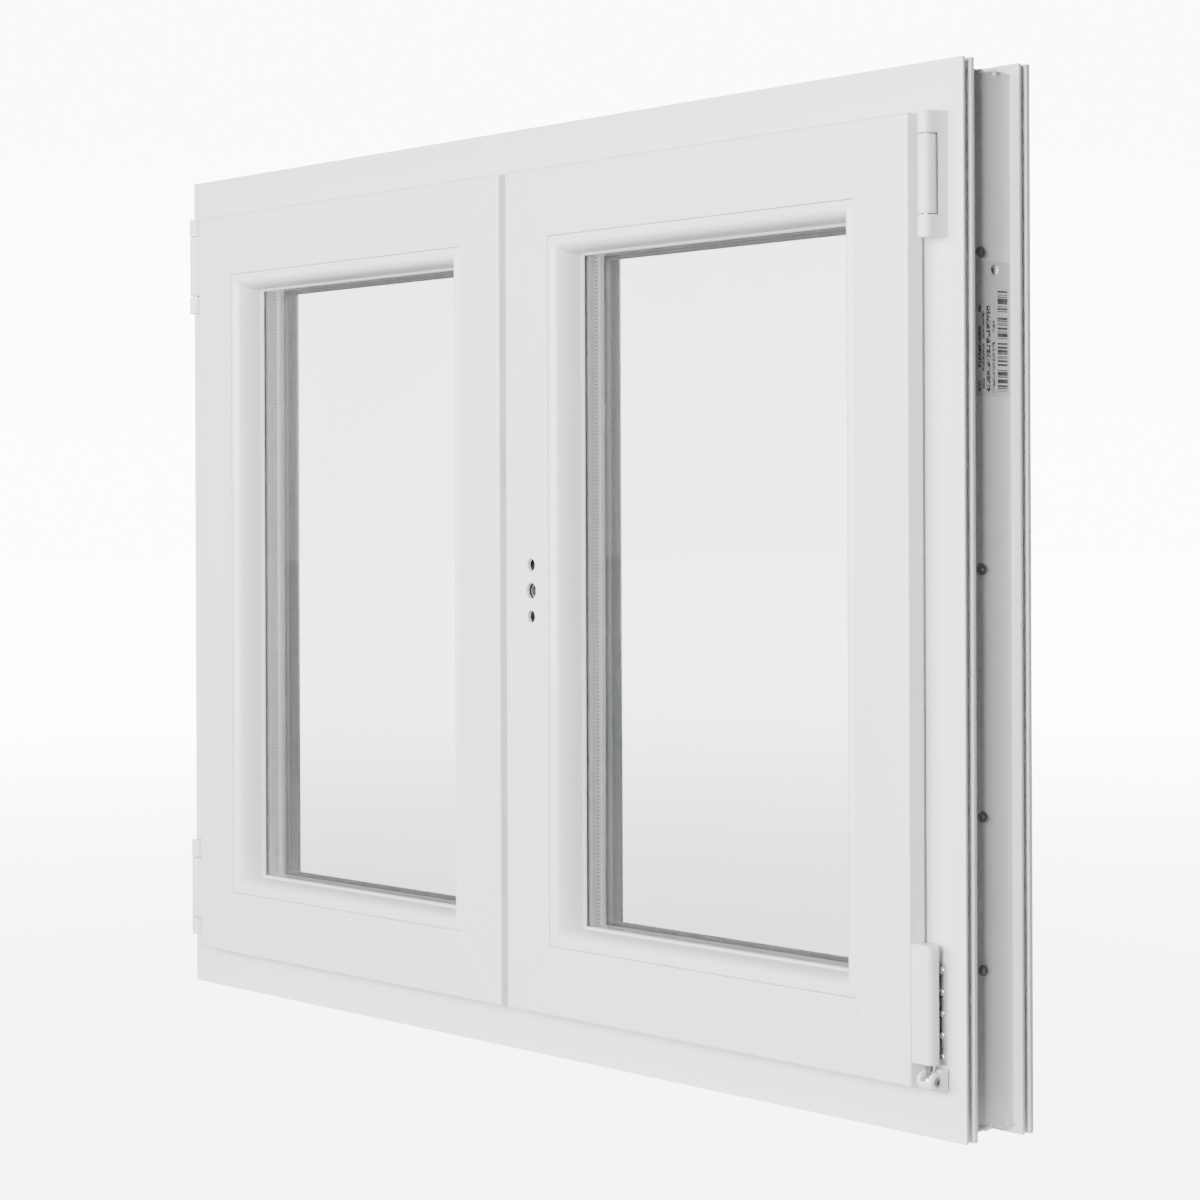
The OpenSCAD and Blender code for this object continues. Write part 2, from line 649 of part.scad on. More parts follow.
module meeting_profile() color(white) in_place() difference() {
    union() {
        block([profile_x, 0, body_z0], [body_x, leaf_back, body_z1]);
        meeting_lip(right_lip_x, profile_x + 1);
    }
    block([profile_x - 1, gear_y - plate_w / 2 - seat_gap, body_z0 - 1], [plate_x, gear_y + plate_w / 2 + seat_gap, body_z1 + 1]);
    block([plate_x - eps, gear_y - rod_w / 2 - pass_gap, body_z0 - 1], [rod_x + pass_gap, gear_y + rod_w / 2 + pass_gap, body_z1 + 1]);
    gear_pocket(plate_x - 1, body_x + 1);
    block([profile_x + wall, plate_w / 2 + gear_y + wall, body_z0 - 1], [body_x - wall, leaf_back - wall, body_z1 + 1]);
}

module cam_slot(z) translate([profile_x - 1, gear_y, z]) {
    block([0, -3.4, -rod_travel - 1], [plate_t + 2, 3.4, rod_travel + 1]);
    for (s = [-1, 1]) translate([0, 0, s * (rod_travel + 1)]) rod_x_axis(3.4, 0, plate_t + 2);
}
module gear_faceplate() color("silver") in_place() difference() {
    block([profile_x, gear_y - plate_w / 2, body_z0 + 6], [plate_x, gear_y + plate_w / 2, body_z1 - 6]);
    for (z = cam_z) cam_slot(z);
}

module gearbox() color("silver") in_place() difference() {
    block([rod_x + pass_gap + 0.2, gear_y - gear_t / 2, mid_z - gear_h / 2],
          [hub_x + 12, gear_y + gear_t / 2, mid_z + gear_h / 2]);
    translate([hub_x, 0, mid_z]) rod_y(hub_r + run_clear, gear_y - gear_t / 2 - 1, gear_y + gear_t / 2 + 1);
}

module handle_hub() color("dimgray") in_place() translate([hub_x, 0, mid_z]) difference() {
    rod_y(hub_r, gear_y - gear_t / 2, gear_y + gear_t / 2);
    translate([-spindle_sq / 2, gear_y - gear_t, -spindle_sq / 2]) cube([spindle_sq, 2 * gear_t, spindle_sq]);
}

// The sliding rod behind the faceplate carries the mushroom cams
module drive_rod() color("silver") in_place() {
    block([rod_x - rod_t, gear_y - rod_w / 2, body_z0 + 30], [rod_x, gear_y + rod_w / 2, body_z1 - 30]);
    for (z = cam_z) translate([0, gear_y, z]) {
        rod_x_axis(3.1, cam_tip + 3, rod_x - rod_t + eps);
        rod_x_axis(cam_r, cam_tip, cam_tip + 3.5);
    }
}

// ---------- tilt and turn pivots ----------

module pivot_ball() color("silver") in_place() translate([axis_x, axis_y, ball_z]) sphere(r = ball_r, $fn = 64);

pin_top = band_z + 30;
module pivot_pin() color("silver") in_place() translate([axis_x, axis_y, ball_z + ball_r + pass_gap])
    cylinder(r = pin_r + 0.5, h = pin_top - ball_z - ball_r - pass_gap, $fn = 48);

module right_hinge_band() color(white) in_place() translate([axis_x, axis_y, band_z]) difference() {
    union() {
        cylinder(r = band_r, h = band_h, $fn = 64);
        block([-(axis_x - leaf_x1), -band_r + 0.6, 0], [0, band_r - 2, band_h]);
    }
    translate([0, 0, -1]) cylinder(r = pin_r + 0.5, h = pin_top - band_z + 1, $fn = 48);
}

// The stay: middle knuckle, a tab behind the leaf's flange, an angle and the long arm
arm_z0 = body_z1 + 7;
arm_z1 = frame_h - room_leg - 2;
arm_drop = 32;
arm_half = 5;
jamb_x = frame_w / 2 - room_leg;
module stay_arm() color(white) in_place() {
    low = hinge_low + end_knuckle + pass_gap;
    high = hinge_low + hinge_h - end_knuckle - pass_gap;
    translate([axis_x, 0, hinge_low]) middle_knuckle();
    difference() {
        block([axis_x - knuckle_r + 0.5, axis_y, low], [axis_x, tab_y1, high]);
        translate([axis_x, axis_y, low - 1]) cylinder(r = knuckle_r - 0.5, h = mid_knuckle + 2, $fn = 64);
    }
    block([jamb_x - 5, tab_y0, low], [axis_x - knuckle_r + 1, tab_y1, high]);
    block([jamb_x - 5, tab_y0, arm_z0 - arm_drop], [jamb_x - 3, gear_y + arm_half, arm_z1]);
    block([axis_x - stay_l, gear_y - arm_half, arm_z0], [jamb_x - 3, gear_y + arm_half, arm_z1]);
}

module stay_guide() color("silver") in_place()
    block([axis_x - stay_l - 20, gear_y - 7, body_z1], [axis_x - stay_l + 90, gear_y + 7, body_z1 + 3.5]);

frame_head();
frame_sill();
frame_jamb_left();
frame_jamb_right();
frame_reinforcement();
frame_gasket();
reinforcement_screws();
drain_caps();
frame_keeps();
keep_screws();
type_label();
stay_bearing();
stay_bearing_pin();
corner_bearing();
bearing_screw();
corner_plate();
left_hinge_brackets();
left_hinge_pins();
left_top_rail();
left_bottom_rail();
left_hinge_stile();
left_meeting_stile();
left_reinforcement();
left_beads();
left_room_pane();
left_outer_pane();
left_spacer();
left_edge_seal();
left_glazing_gaskets();
left_setting_blocks();
left_leaf_gasket();
left_hinge_bands();
astragal();
astragal_caps();
astragal_keeps();
top_flush_bolt();
bottom_flush_bolt();
right_top_rail();
right_bottom_rail();
right_hinge_stile();
right_meeting_stile();
right_reinforcement();
right_beads();
right_room_pane();
right_outer_pane();
right_spacer();
right_edge_seal();
right_glazing_gaskets();
right_setting_blocks();
right_leaf_gasket();
right_hinge_band();
pivot_pin();
pivot_ball();
meeting_profile();
gear_faceplate();
gearbox();
handle_hub();
drive_rod();
stay_arm();
stay_guide();
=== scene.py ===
import bpy
import bmesh
import numpy as np
from math import radians, sin, cos, pi, atan2
from mathutils import Matrix, Vector


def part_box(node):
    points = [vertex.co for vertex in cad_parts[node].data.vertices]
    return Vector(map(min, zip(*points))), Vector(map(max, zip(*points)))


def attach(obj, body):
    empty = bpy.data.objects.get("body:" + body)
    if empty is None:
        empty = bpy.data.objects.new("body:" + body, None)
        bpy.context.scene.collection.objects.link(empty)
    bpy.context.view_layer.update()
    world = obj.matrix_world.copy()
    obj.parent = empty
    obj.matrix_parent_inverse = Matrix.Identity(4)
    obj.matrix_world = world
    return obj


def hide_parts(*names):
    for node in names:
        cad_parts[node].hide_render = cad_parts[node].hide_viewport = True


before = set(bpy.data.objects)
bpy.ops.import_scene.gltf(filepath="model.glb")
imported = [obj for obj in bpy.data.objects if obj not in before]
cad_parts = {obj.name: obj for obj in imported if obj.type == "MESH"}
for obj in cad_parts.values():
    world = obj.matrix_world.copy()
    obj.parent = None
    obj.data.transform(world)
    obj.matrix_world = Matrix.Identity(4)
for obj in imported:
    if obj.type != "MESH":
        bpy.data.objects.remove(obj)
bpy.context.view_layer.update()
print("frame loaded")

mm = 0.001


def boxOf(node):
    # lowest and highest corner of a CAD node as two arrays
    low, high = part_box(node)
    return np.array(low, float), np.array(high, float)


frameLow = np.minimum(boxOf("frame_jamb_left")[0], boxOf("frame_sill")[0])
frameHigh = np.maximum(boxOf("frame_jamb_right")[1], boxOf("frame_head")[1])
roomY = frameLow[1]  # the frame's room face
leafBox = {
    side: (boxOf(side + "_bottom_rail")[0], boxOf(side + "_top_rail")[1]) for side in ("left", "right")
}
leafY = leafBox["right"][0][1]  # the leaves' room face
axisX = boxOf("pivot_ball")[0][0] / 2 + boxOf("pivot_ball")[1][0] / 2
axisY = boxOf("pivot_ball")[0][1] / 2 + boxOf("pivot_ball")[1][1] / 2
midZ = (frameLow[2] + frameHigh[2]) / 2


def meshObject(name, points, faces, smoothAngle=35):
    # one closed mesh with its normals turned outwards and its sharp edges kept
    mesh = bpy.data.meshes.new(name)
    mesh.from_pydata([tuple(p) for p in np.asarray(points).reshape(-1, 3)], [], faces)
    work = bmesh.new()
    work.from_mesh(mesh)
    bmesh.ops.remove_doubles(work, verts=work.verts, dist=1e-7)
    bmesh.ops.recalc_face_normals(work, faces=work.faces)
    work.to_mesh(mesh)
    work.free()
    mesh.shade_smooth()
    mesh.set_sharp_from_angle(angle=radians(smoothAngle))
    piece = bpy.data.objects.new(name, mesh)
    bpy.context.scene.collection.objects.link(piece)
    return piece


def gridFaces(rows, columns, closeRows=False):
    # the quads between neighbouring points of a rows by columns grid whose columns close up
    r = np.arange(rows if closeRows else rows - 1)
    r, c = np.meshgrid(r, np.arange(columns), indexing="ij")
    r2, c2 = (r + 1) % rows, (c + 1) % columns
    quads = np.stack([r * columns + c, r * columns + c2, r2 * columns + c2, r2 * columns + c], axis=-1)
    return quads.reshape(-1, 4).tolist()


def loft(name, sections, closed=False, smoothAngle=35):
    # skin over outlines of equal length: row i of the grid is outline i
    rows, columns = sections.shape[:2]
    faces = gridFaces(rows, columns, closeRows=closed)
    if not closed:
        faces.append(list(range(columns)))
        faces.append([(rows - 1) * columns + i for i in range(columns)])
    return meshObject(name, sections, faces, smoothAngle)


def roundedOutline(corners, radii, steps=4):
    # each corner p becomes the curve (1-t)^2 a + 2t(1-t) p + t^2 b, with a and b cut back along its sides
    corners = np.asarray(corners, float)
    radii = np.broadcast_to(np.asarray(radii, float), len(corners))[:, None]
    before, after = np.roll(corners, 1, axis=0) - corners, np.roll(corners, -1, axis=0) - corners
    lengthBefore = np.linalg.norm(before, axis=1, keepdims=True)
    lengthAfter = np.linalg.norm(after, axis=1, keepdims=True)
    cut = np.minimum(radii, 0.45 * np.minimum(lengthBefore, lengthAfter))
    a = (corners + before / lengthBefore * cut)[:, None, :]
    b = (corners + after / lengthAfter * cut)[:, None, :]
    t = np.linspace(0, 1, steps)[None, :, None]
    curve = (1 - t) ** 2 * a + 2 * t * (1 - t) * corners[:, None, :] + t ** 2 * b
    # one more point on either side keeps the flats shaded flat
    lead = a + (before / lengthBefore * np.minimum(0.3 * mm, 0.04 * lengthBefore))[:, None, :]
    trail = b + (after / lengthAfter * np.minimum(0.3 * mm, 0.04 * lengthAfter))[:, None, :]
    return np.concatenate([lead, curve, trail], axis=1).reshape(-1, 2)


def insetOutline(outline, amount):
    # every point moves inwards by amount along the mean normal of its two sides
    ahead, behind = np.roll(outline, -1, axis=0), np.roll(outline, 1, axis=0)
    along = ahead - behind
    along /= np.maximum(np.linalg.norm(along, axis=1, keepdims=True), 1e-12)
    area = np.sum(outline[:, 0] * ahead[:, 1] - ahead[:, 0] * outline[:, 1])
    normal = np.stack([-along[:, 1], along[:, 0]], axis=1) * np.sign(area)
    return outline + normal * amount


def aroundRing(side, low, high, along, u, y):
    # side 0 bottom, 1 right, 2 top, 3 left: u runs inwards from the ring's outer edge
    cx, cz = (low[0] + high[0]) / 2, (low[2] + high[2]) / 2
    x = [cx + along, high[0] - u, cx - along, low[0] + u][side]
    z = [low[2] + u, cz + along, high[2] - u, cz - along][side]
    return np.stack(np.broadcast_arrays(x, y, z), axis=-1)


def mitredBar(name, side, low, high, outline, seam=0.5 * mm, groove=0.16 * mm, gap=0.0):
    # the outline carried along one side of a ring; its ends lie on the mitre planes,
    # where it is inset by the groove
    half = (high[0] - low[0]) / 2 if side % 2 == 0 else (high[2] - low[2]) / 2
    inner = insetOutline(outline, groove)
    rows = []
    steps = [(0.0, inner), (seam, outline), (seam * 1.3, outline)]
    for back, shape in steps:
        rows.append(aroundRing(side, low, high, -(half - shape[:, 0]) + back + gap, shape[:, 0], shape[:, 1]))
    for share in (-1 / 3, 1 / 3):
        rows.append(aroundRing(side, low, high, share * (half - outline[:, 0]), outline[:, 0], outline[:, 1]))
    for back, shape in reversed(steps):
        rows.append(aroundRing(side, low, high, (half - shape[:, 0]) - back - gap, shape[:, 0], shape[:, 1]))
    return loft(name, np.array(rows))


def sweptRing(name, low, high, outline):
    # one outline carried round the whole ring with mitred corners
    rows = []
    for side in range(4):
        half = (high[0] - low[0]) / 2 if side % 2 == 0 else (high[2] - low[2]) / 2
        rows.append(aroundRing(side, low, high, outline[:, 0] - half, outline[:, 0], outline[:, 1]))
    return loft(name, np.array(rows), closed=True)


def prism(name, outline, start, end, chamfer, axes="xyz"):
    # an outline drawn on the first two axes and carried along the third, its two ends chamfered
    levels = [(start, chamfer), (start + chamfer * 0.3, chamfer * 0.3), (start + chamfer, 0.0)]
    levels += [(start + chamfer * 1.5, 0.0), (end - chamfer * 1.5, 0.0)]
    levels += [(end - chamfer, 0.0), (end - chamfer * 0.3, chamfer * 0.3), (end, chamfer)]
    rows = []
    for level, inset in levels:
        shape = insetOutline(outline, inset)
        point = {axes[0]: shape[:, 0], axes[1]: shape[:, 1], axes[2]: np.full(len(shape), level)}
        rows.append(np.stack([point["x"], point["y"], point["z"]], axis=-1))
    return loft(name, np.array(rows))


def rectangle(x0, y0, x1, y1):
    return np.array([[x0, y0], [x1, y0], [x1, y1], [x0, y1]])


def turned(name, centre, axis, radii, heights, n=40):
    # a profile of radii and heights turned about an axis
    a = np.linspace(0, 2 * pi, n, endpoint=False)[None, :]
    r, h = np.asarray(radii, float)[:, None], np.asarray(heights, float)[:, None]
    px, py, pz = r * np.cos(a), r * np.sin(a), h + 0 * a
    axis = Vector(axis).normalized()
    turn = np.array(Vector((0, 0, 1)).rotation_difference(axis).to_matrix())
    points = np.stack([px, py, pz], axis=-1) @ turn.T + np.asarray(centre, float)
    return loft(name, points, smoothAngle=40)


def joined(name, pieces):
    # several closed shells kept as one piece
    mesh = bpy.data.meshes.new(name)
    work = bmesh.new()
    for piece in pieces:
        work.from_mesh(piece.data)
        bpy.data.objects.remove(piece)
    work.to_mesh(mesh)
    work.free()
    mesh.shade_smooth()
    mesh.set_sharp_from_angle(angle=radians(35))
    piece = bpy.data.objects.new(name, mesh)
    bpy.context.scene.collection.objects.link(piece)
    return piece


def cutFrom(piece, cutters):
    # takes the cutters out of the piece for good
    for cutter in cutters:
        cut = piece.modifiers.new("cut", "BOOLEAN")
        cut.operation, cut.solver, cut.object = "DIFFERENCE", "EXACT", cutter
        view = bpy.context.evaluated_depsgraph_get()
        mesh = bpy.data.meshes.new_from_object(piece.evaluated_get(view))
        piece.modifiers.clear()
        old = piece.data
        piece.data = mesh
        bpy.data.meshes.remove(old)
        bpy.data.objects.remove(cutter)
    piece.data.set_sharp_from_angle(angle=radians(35))
    return piece


def settle(piece, body, finish, replaced=()):
    # gives a finished piece its material and its body, and hides the CAD nodes that it stands for
    piece.data.materials.clear()
    piece.data.materials.append(finish)
    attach(piece, body)
    if replaced:
        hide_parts(*replaced)


class Value:
    # a number on a node's socket that takes Python's arithmetic
    def __init__(self, finish, socket):
        self.finish, self.socket = finish, socket

    def join(self, operation, first, second=0.0, third=0.0):
        return self.finish.value("ShaderNodeMath", {"operation": operation}, {0: first, 1: second, 2: third})

    def __add__(self, other):
        return self.join("ADD", self, other)

    def __sub__(self, other):
        return self.join("SUBTRACT", self, other)

    def __mul__(self, other):
        return self.join("MULTIPLY", self, other)

    def __truediv__(self, other):
        return self.join("DIVIDE", self, other)

    def __pow__(self, other):
        return self.join("POWER", self, other)

    def __mod__(self, other):
        return self.join("FLOORED_MODULO", self, other)

    def __lt__(self, other):
        return self.join("LESS_THAN", self, other)

    def __gt__(self, other):
        return self.join("GREATER_THAN", self, other)

    def __rsub__(self, other):
        return self.join("SUBTRACT", other, self)

    def __rtruediv__(self, other):
        return self.join("DIVIDE", other, self)

    def __abs__(self):
        return self.join("ABSOLUTE", self)

    __radd__ = __add__
    __rmul__ = __mul__


class Finish:
    # one material and its nodes
    def __init__(self, name, **shader):
        self.material = bpy.data.materials.new(name)
        self.material.use_nodes = True
        self.tree = self.material.node_tree
        self.tree.nodes.clear()
        self.output = self.tree.nodes.new("ShaderNodeOutputMaterial")
        self.shader = self.node("ShaderNodeBsdfPrincipled", {}, shader)
        self.tree.links.new(self.shader.outputs[0], self.output.inputs["Surface"])
        self.place = self.node("ShaderNodeTexCoord").outputs["Object"]

    def node(self, kind, settings=None, inputs=None):
        node = self.tree.nodes.new(kind)
        for key, setting in (settings or {}).items():
            if key == "stops":
                ramp = node.color_ramp.elements
                while len(ramp) < len(setting):
                    ramp.new(0.5)
                for stop, (position, shade) in zip(ramp, setting):
                    stop.position, stop.color = position, (shade, shade, shade, 1)
            else:
                setattr(node, key, setting)
        for key, given in (inputs or {}).items():
            self.feed(node.inputs[key], given)
        return node

    def feed(self, socket, given):
        if isinstance(given, Value):
            given = given.socket
        if isinstance(given, bpy.types.NodeSocket):
            self.tree.links.new(given, socket)
        else:
            socket.default_value = given

    def value(self, kind, settings=None, inputs=None, out=0):
        return Value(self, self.node(kind, settings, inputs).outputs[out])

    def noise(self, scale, detail=3.0, roughness=0.55, stretch=(1, 1, 1)):
        where = self.node("ShaderNodeMapping", {}, {"Vector": self.place, "Scale": stretch}).outputs[0]
        return self.value("ShaderNodeTexNoise", {}, {"Vector": where, "Scale": scale, "Detail": detail,
                                                     "Roughness": roughness})

    def axes(self):
        parts = self.node("ShaderNodeSeparateXYZ", {}, {"Vector": self.place})
        return [Value(self, parts.outputs[i]) for i in range(3)]

    def between(self, x, low, high):
        # 0 below low, 1 above high, smooth between
        return self.value("ShaderNodeMapRange", {"interpolation_type": "SMOOTHSTEP"},
                          {"Value": x, "From Min": low, "From Max": high})

    def blendColour(self, amount, dark, light):
        return self.node("ShaderNodeMix", {"data_type": "RGBA"},
                         {"Factor": amount, 6: (*dark, 1), 7: (*light, 1)}).outputs[2]

    def bump(self, height, strength, distance, base=None):
        inputs = {"Height": height, "Strength": strength, "Distance": distance}
        if base is not None:
            inputs["Normal"] = base
        return self.node("ShaderNodeBump", {}, inputs).outputs[0]

    def use(self, **links):
        for key, given in links.items():
            self.feed(self.shader.inputs[key.replace("_", " ")], given)
        return self.material


def pvcFinish(name, light, dark, gloss):
    # extruded white profile: faint mottling, slow waves and orange peel
    f = Finish(name, **{"IOR": 1.53, "Specular IOR Level": 0.5})
    mottle = f.noise(9.0, 4.0)
    peel = f.noise(900.0, 2.0)
    tone = (mottle - 0.5) * 0.35 + 0.72
    waves = f.noise(60.0, 2.0)
    f.use(Base_Color=f.blendColour(tone, dark, light),
          Roughness=gloss + (mottle - 0.5) * 0.08,
          Normal=f.bump(waves, 0.05, 0.002, f.bump(peel, 0.10, 0.0002)))
    return f.material


def coverFinish():
    # moulded hinge covers, a touch warmer and smoother than the profile
    f = Finish("coverWhite", **{"IOR": 1.49})
    grain = f.noise(1400.0, 2.0)
    mottle = f.noise(30.0, 3.0)
    f.use(Base_Color=f.blendColour(mottle, (0.70, 0.705, 0.71), (0.765, 0.77, 0.775)),
          Roughness=0.30 + mottle * 0.10, Normal=f.bump(grain, 0.12, 0.0001))
    return f.material


def rubberFinish(name, dark, light):
    # extruded seal: matt, fine die lines, slight bloom
    f = Finish(name, **{"IOR": 1.5})
    bloom = f.noise(55.0, 5.0, 0.65)
    grain = f.noise(2200.0, 2.0)
    f.use(Base_Color=f.blendColour(bloom, dark, light), Roughness=0.50 + bloom * 0.25,
          Normal=f.bump(grain, 0.3, 0.0001))
    return f.material


def metalFinish(name, dark, light, rough, brushed, speckle=0.0):
    # plated steel: cloudy plating, fine brushing along Z and small scuffs
    f = Finish(name, **{"Metallic": 1.0})
    cloud = f.noise(70.0, 5.0, 0.6)
    brush = f.noise(1500.0, 2.0, 0.5, (1, 1, 0.02))
    scuff = f.between(f.noise(420.0, 4.0, 0.7), 0.58, 0.72) * speckle
    f.use(Base_Color=f.blendColour(cloud - scuff, dark, light),
          Roughness=rough + (cloud - 0.5) * 0.16 + brush * brushed + scuff * 0.3,
          Normal=f.bump(brush, brushed, 0.0001))
    return f.material


glassLook = {"tint": (0.80, 0.806, 0.804, 1), "index": 1.52, "haze": 0.012}


def glassFinish():
    # float glass: clear with its tint head on, mirror-like at a slant, with a breath of haze
    f = Finish("floatGlass", **{"IOR": glassLook["index"]})
    clear = f.node("ShaderNodeBsdfTransparent", {}, {"Color": glassLook["tint"]})
    sheen = f.node("ShaderNodeBsdfGlossy", {}, {"Color": (1, 1, 1, 1), "Roughness": 0.015})
    film = f.node("ShaderNodeBsdfDiffuse", {}, {"Color": (0.9, 0.9, 0.9, 1)})
    front = 1 - Value(f, f.node("ShaderNodeNewGeometry").outputs["Backfacing"])
    slant = f.value("ShaderNodeFresnel", {}, {"IOR": glassLook["index"]}) * front * 2
    smear = f.between(f.noise(7.0, 4.0, 0.6), 0.35, 0.85) * glassLook["haze"] + 0.002
    body = f.node("ShaderNodeMixShader", {}, {0: smear, 1: clear.outputs[0], 2: film.outputs[0]})
    whole = f.node("ShaderNodeMixShader", {}, {0: slant, 1: body.outputs[0], 2: sheen.outputs[0]})
    f.tree.nodes.remove(f.shader)
    f.tree.links.new(whole.outputs[0], f.output.inputs["Surface"])
    return f.material


breather = {"pitch": 3.2 * mm, "hole": 0.6 * mm}


def spacerFinish():
    # roll-formed aluminium with two rows of fine breather holes along the middle; the holes are not cut but
    # dented by a bump and painted as near-black spots, painted shade for the hollow bar behind them
    pitch, hole = breather["pitch"], breather["hole"]
    f = Finish("spacerAluminium", **{"Metallic": 0.4})
    x, y, z = f.axes()
    rowY = abs(y - spacerMidY)
    alongX = abs(x % pitch - pitch / 2)
    alongZ = abs(z % pitch - pitch / 2)
    near = (rowY < hole * 1.6) * (rowY > hole * 0.1)
    holeShadeDots = (alongX < hole) * (alongZ < pitch) * near
    holeShadeDotsUp = (alongZ < hole) * near
    normal = f.node("ShaderNodeNewGeometry").outputs["Normal"]
    facing = f.node("ShaderNodeSeparateXYZ", {}, {"Vector": normal})
    upright = f.between(abs(Value(f, facing.outputs[0])), 0.4, 0.6)
    # painted shade: this mask darkens the base colour to near black where each hole stands
    holeShadeMask = holeShadeDotsUp * upright + holeShadeDots * (1 - upright)
    cloud = f.noise(60.0, 4.0)
    shade = (1 - holeShadeMask) * (cloud * 0.3 + 0.7)
    f.use(Base_Color=f.blendColour(shade, (0.10, 0.10, 0.10), (0.86, 0.87, 0.88)),
          Roughness=0.40 + cloud * 0.12, Normal=f.bump(1 - holeShadeMask, 0.6, 0.0003))
    return f.material


labelPrint = {"bars": (0.64, 0.95, 0.20, 0.98), "columns": ((0.05, 0.13, 700.0), (0.18, 0.24, 900.0),
                                                             (0.30, 0.42, 420.0), (0.48, 0.56, 800.0))}


def labelFinish(low, high):
    # a printed film: one column of bars and four columns of broken marks, no lettering
    f = Finish("labelFilm", **{"IOR": 1.46})
    y, z = f.axes()[1:]
    across = (y - low[1]) / (high[1] - low[1])
    down = (high[2] - z) / (high[2] - low[2])
    left, right, first, last = labelPrint["bars"]
    stripes = f.value("ShaderNodeTexNoise", {"noise_dimensions": "1D"},
                      {"W": down * 70.0, "Scale": 1.0, "Detail": 0.0})
    groups = (down * 5.0) % 1.0 < 0.86
    ink = (stripes > 0.47) * groups * (across > left) * (across < right) * (down > first) * (down < last)
    for start, stop, scale in labelPrint["columns"]:
        marks = f.noise(scale * 1.5, 1.0, 0.5, (1, 1, 1)) > 0.47
        gaps = f.noise(scale * 0.09, 0.0, 0.5, (0.01, 0.01, 1)) > 0.36
        ink = ink + marks * gaps * (across > start) * (across < stop) * (down > 0.33) * (down < 0.97)
    worn = f.noise(120.0, 5.0, 0.7)
    shade = 1 - ink * (0.9 + (worn - 0.5) * 0.4)
    f.use(Base_Color=f.blendColour(shade, (0.015, 0.015, 0.018), (0.62, 0.63, 0.63)),
          Roughness=0.35 + worn * 0.2)
    return f.material


spacerLow, spacerHigh = boxOf("right_spacer")
spacerMidY = float(spacerLow[1] + spacerHigh[1]) / 2
finishes = {
    "pvc": pvcFinish("profileWhite", (0.80, 0.805, 0.81), (0.70, 0.705, 0.71), 0.30),
    "cover": coverFinish(),
    "gasket": rubberFinish("gasketPale", (0.56, 0.565, 0.57), (0.68, 0.685, 0.69)),
    "overlap": rubberFinish("gasketGrey", (0.22, 0.225, 0.23), (0.32, 0.325, 0.33)),
    "sealant": rubberFinish("sealantDark", (0.02, 0.02, 0.02), (0.05, 0.05, 0.05)),
    "plastic": rubberFinish("plasticGrey", (0.22, 0.22, 0.23), (0.34, 0.34, 0.35)),
    "zinc": metalFinish("zincPlate", (0.42, 0.43, 0.44), (0.68, 0.69, 0.70), 0.30, 0.12, 0.5),
    "chrome": metalFinish("brightPlate", (0.66, 0.66, 0.67), (0.80, 0.80, 0.82), 0.10, 0.05),
    "dark": metalFinish("dullPlate", (0.13, 0.13, 0.135), (0.32, 0.32, 0.33), 0.34, 0.10, 0.6),
    "screw": metalFinish("screwPlate", (0.34, 0.34, 0.35), (0.62, 0.62, 0.63), 0.28, 0.10, 0.6),
    "glass": glassFinish(),
    "spacer": spacerFinish(),
    "label": labelFinish(*boxOf("type_label")),
}
print("finishes made")


frameBar = {
    "roomLeg": 46 * mm, "stopLeg": 66 * mm, "stopStart": 55 * mm, "depth": 70 * mm, "recess": 7.8 * mm,
    "flange": 12 * mm, "groove": 5.2 * mm, "grooveBack": 8.9 * mm, "seam": 0.7 * mm, "seamDepth": 0.14 * mm,
}
frameHoles = {"fixing": 4 * mm, "fixingDepth": 16 * mm, "fromEnd": 151 * mm, "fromFace": 40 * mm,
              "boltPlay": 0.5 * mm, "boltDepth": 15 * mm}


def frameOutline():
    # the frame's section as (inward, depth, corner radius) points in mm, a groove in each edge flange
    b = {key: size / mm for key, size in frameBar.items()}
    d, f, g, first, rear = b["depth"], b["flange"], b["groove"], 2.8, b["depth"] - b["flange"]
    points = np.array([
        (0.5, 0, 0.3), (b["roomLeg"], 0, 1.2), (b["roomLeg"], b["stopStart"], 0.6),
        (b["stopLeg"], b["stopStart"], 1.0), (b["stopLeg"], d - 2, 0.8), (b["stopLeg"] - 2, d, 0.8),
        (0.5, d, 0.3), (0, d - 0.5, 0.3), (0, d - 3.9, 0.2), (g, d - 4.3, 0.3), (g, rear + 2.8, 0.3),
        (0, rear + 2.5, 0.2), (0, rear + 0.4, 0.3), (0.4, rear, 0.3), (b["recess"], rear - 0.8, 0.8),
        (b["recess"], f + 0.8, 0.8), (0.4, f, 0.3), (0, f - 0.4, 0.3), (0, b["grooveBack"] - 0.2, 0.2),
        (g, b["grooveBack"] - 0.5, 0.3), (g, first - 0.1, 0.3), (0, first - 0.5, 0.2), (0, 0.5, 0.3),
    ])
    outline = roundedOutline(points[:, :2] * mm, points[:, 2] * mm, 4)
    outline[:, 1] += roomY
    return outline


def boltDrill(top):
    # the blind hole that the flush bolt shoots into
    low, high = boxOf("top_flush_bolt" if top else "bottom_flush_bolt")
    bolt = float(high[1] - low[1]) / 2
    r, lip, deep = bolt + frameHoles["boltPlay"], frameBar["roomLeg"] + 1 * mm, frameHoles["boltDepth"]
    mouth = frameHigh[2] - lip if top else frameLow[2] + lip
    return turned("drill", (low[0] + bolt, low[1] + bolt, mouth), (0, 0, 1 if top else -1),
                  [0, r, r, 0], [0, 0, deep, deep], 40)


def fixingDrill(hand):
    # the hole for a fixing screw in a jamb, near its top on the right and near its foot on the left
    h = frameHoles
    r, deep = h["fixing"], h["fixingDepth"]
    lift = frameHigh[2] - h["fromEnd"] if hand > 0 else frameLow[2] + h["fromEnd"]
    return turned("drill", (hand * (frameHigh[0] - 2 * mm), roomY + h["fromFace"], lift), (-hand, 0, 0),
                  [0, r, r, 0], [0, 0, deep, deep], 40)


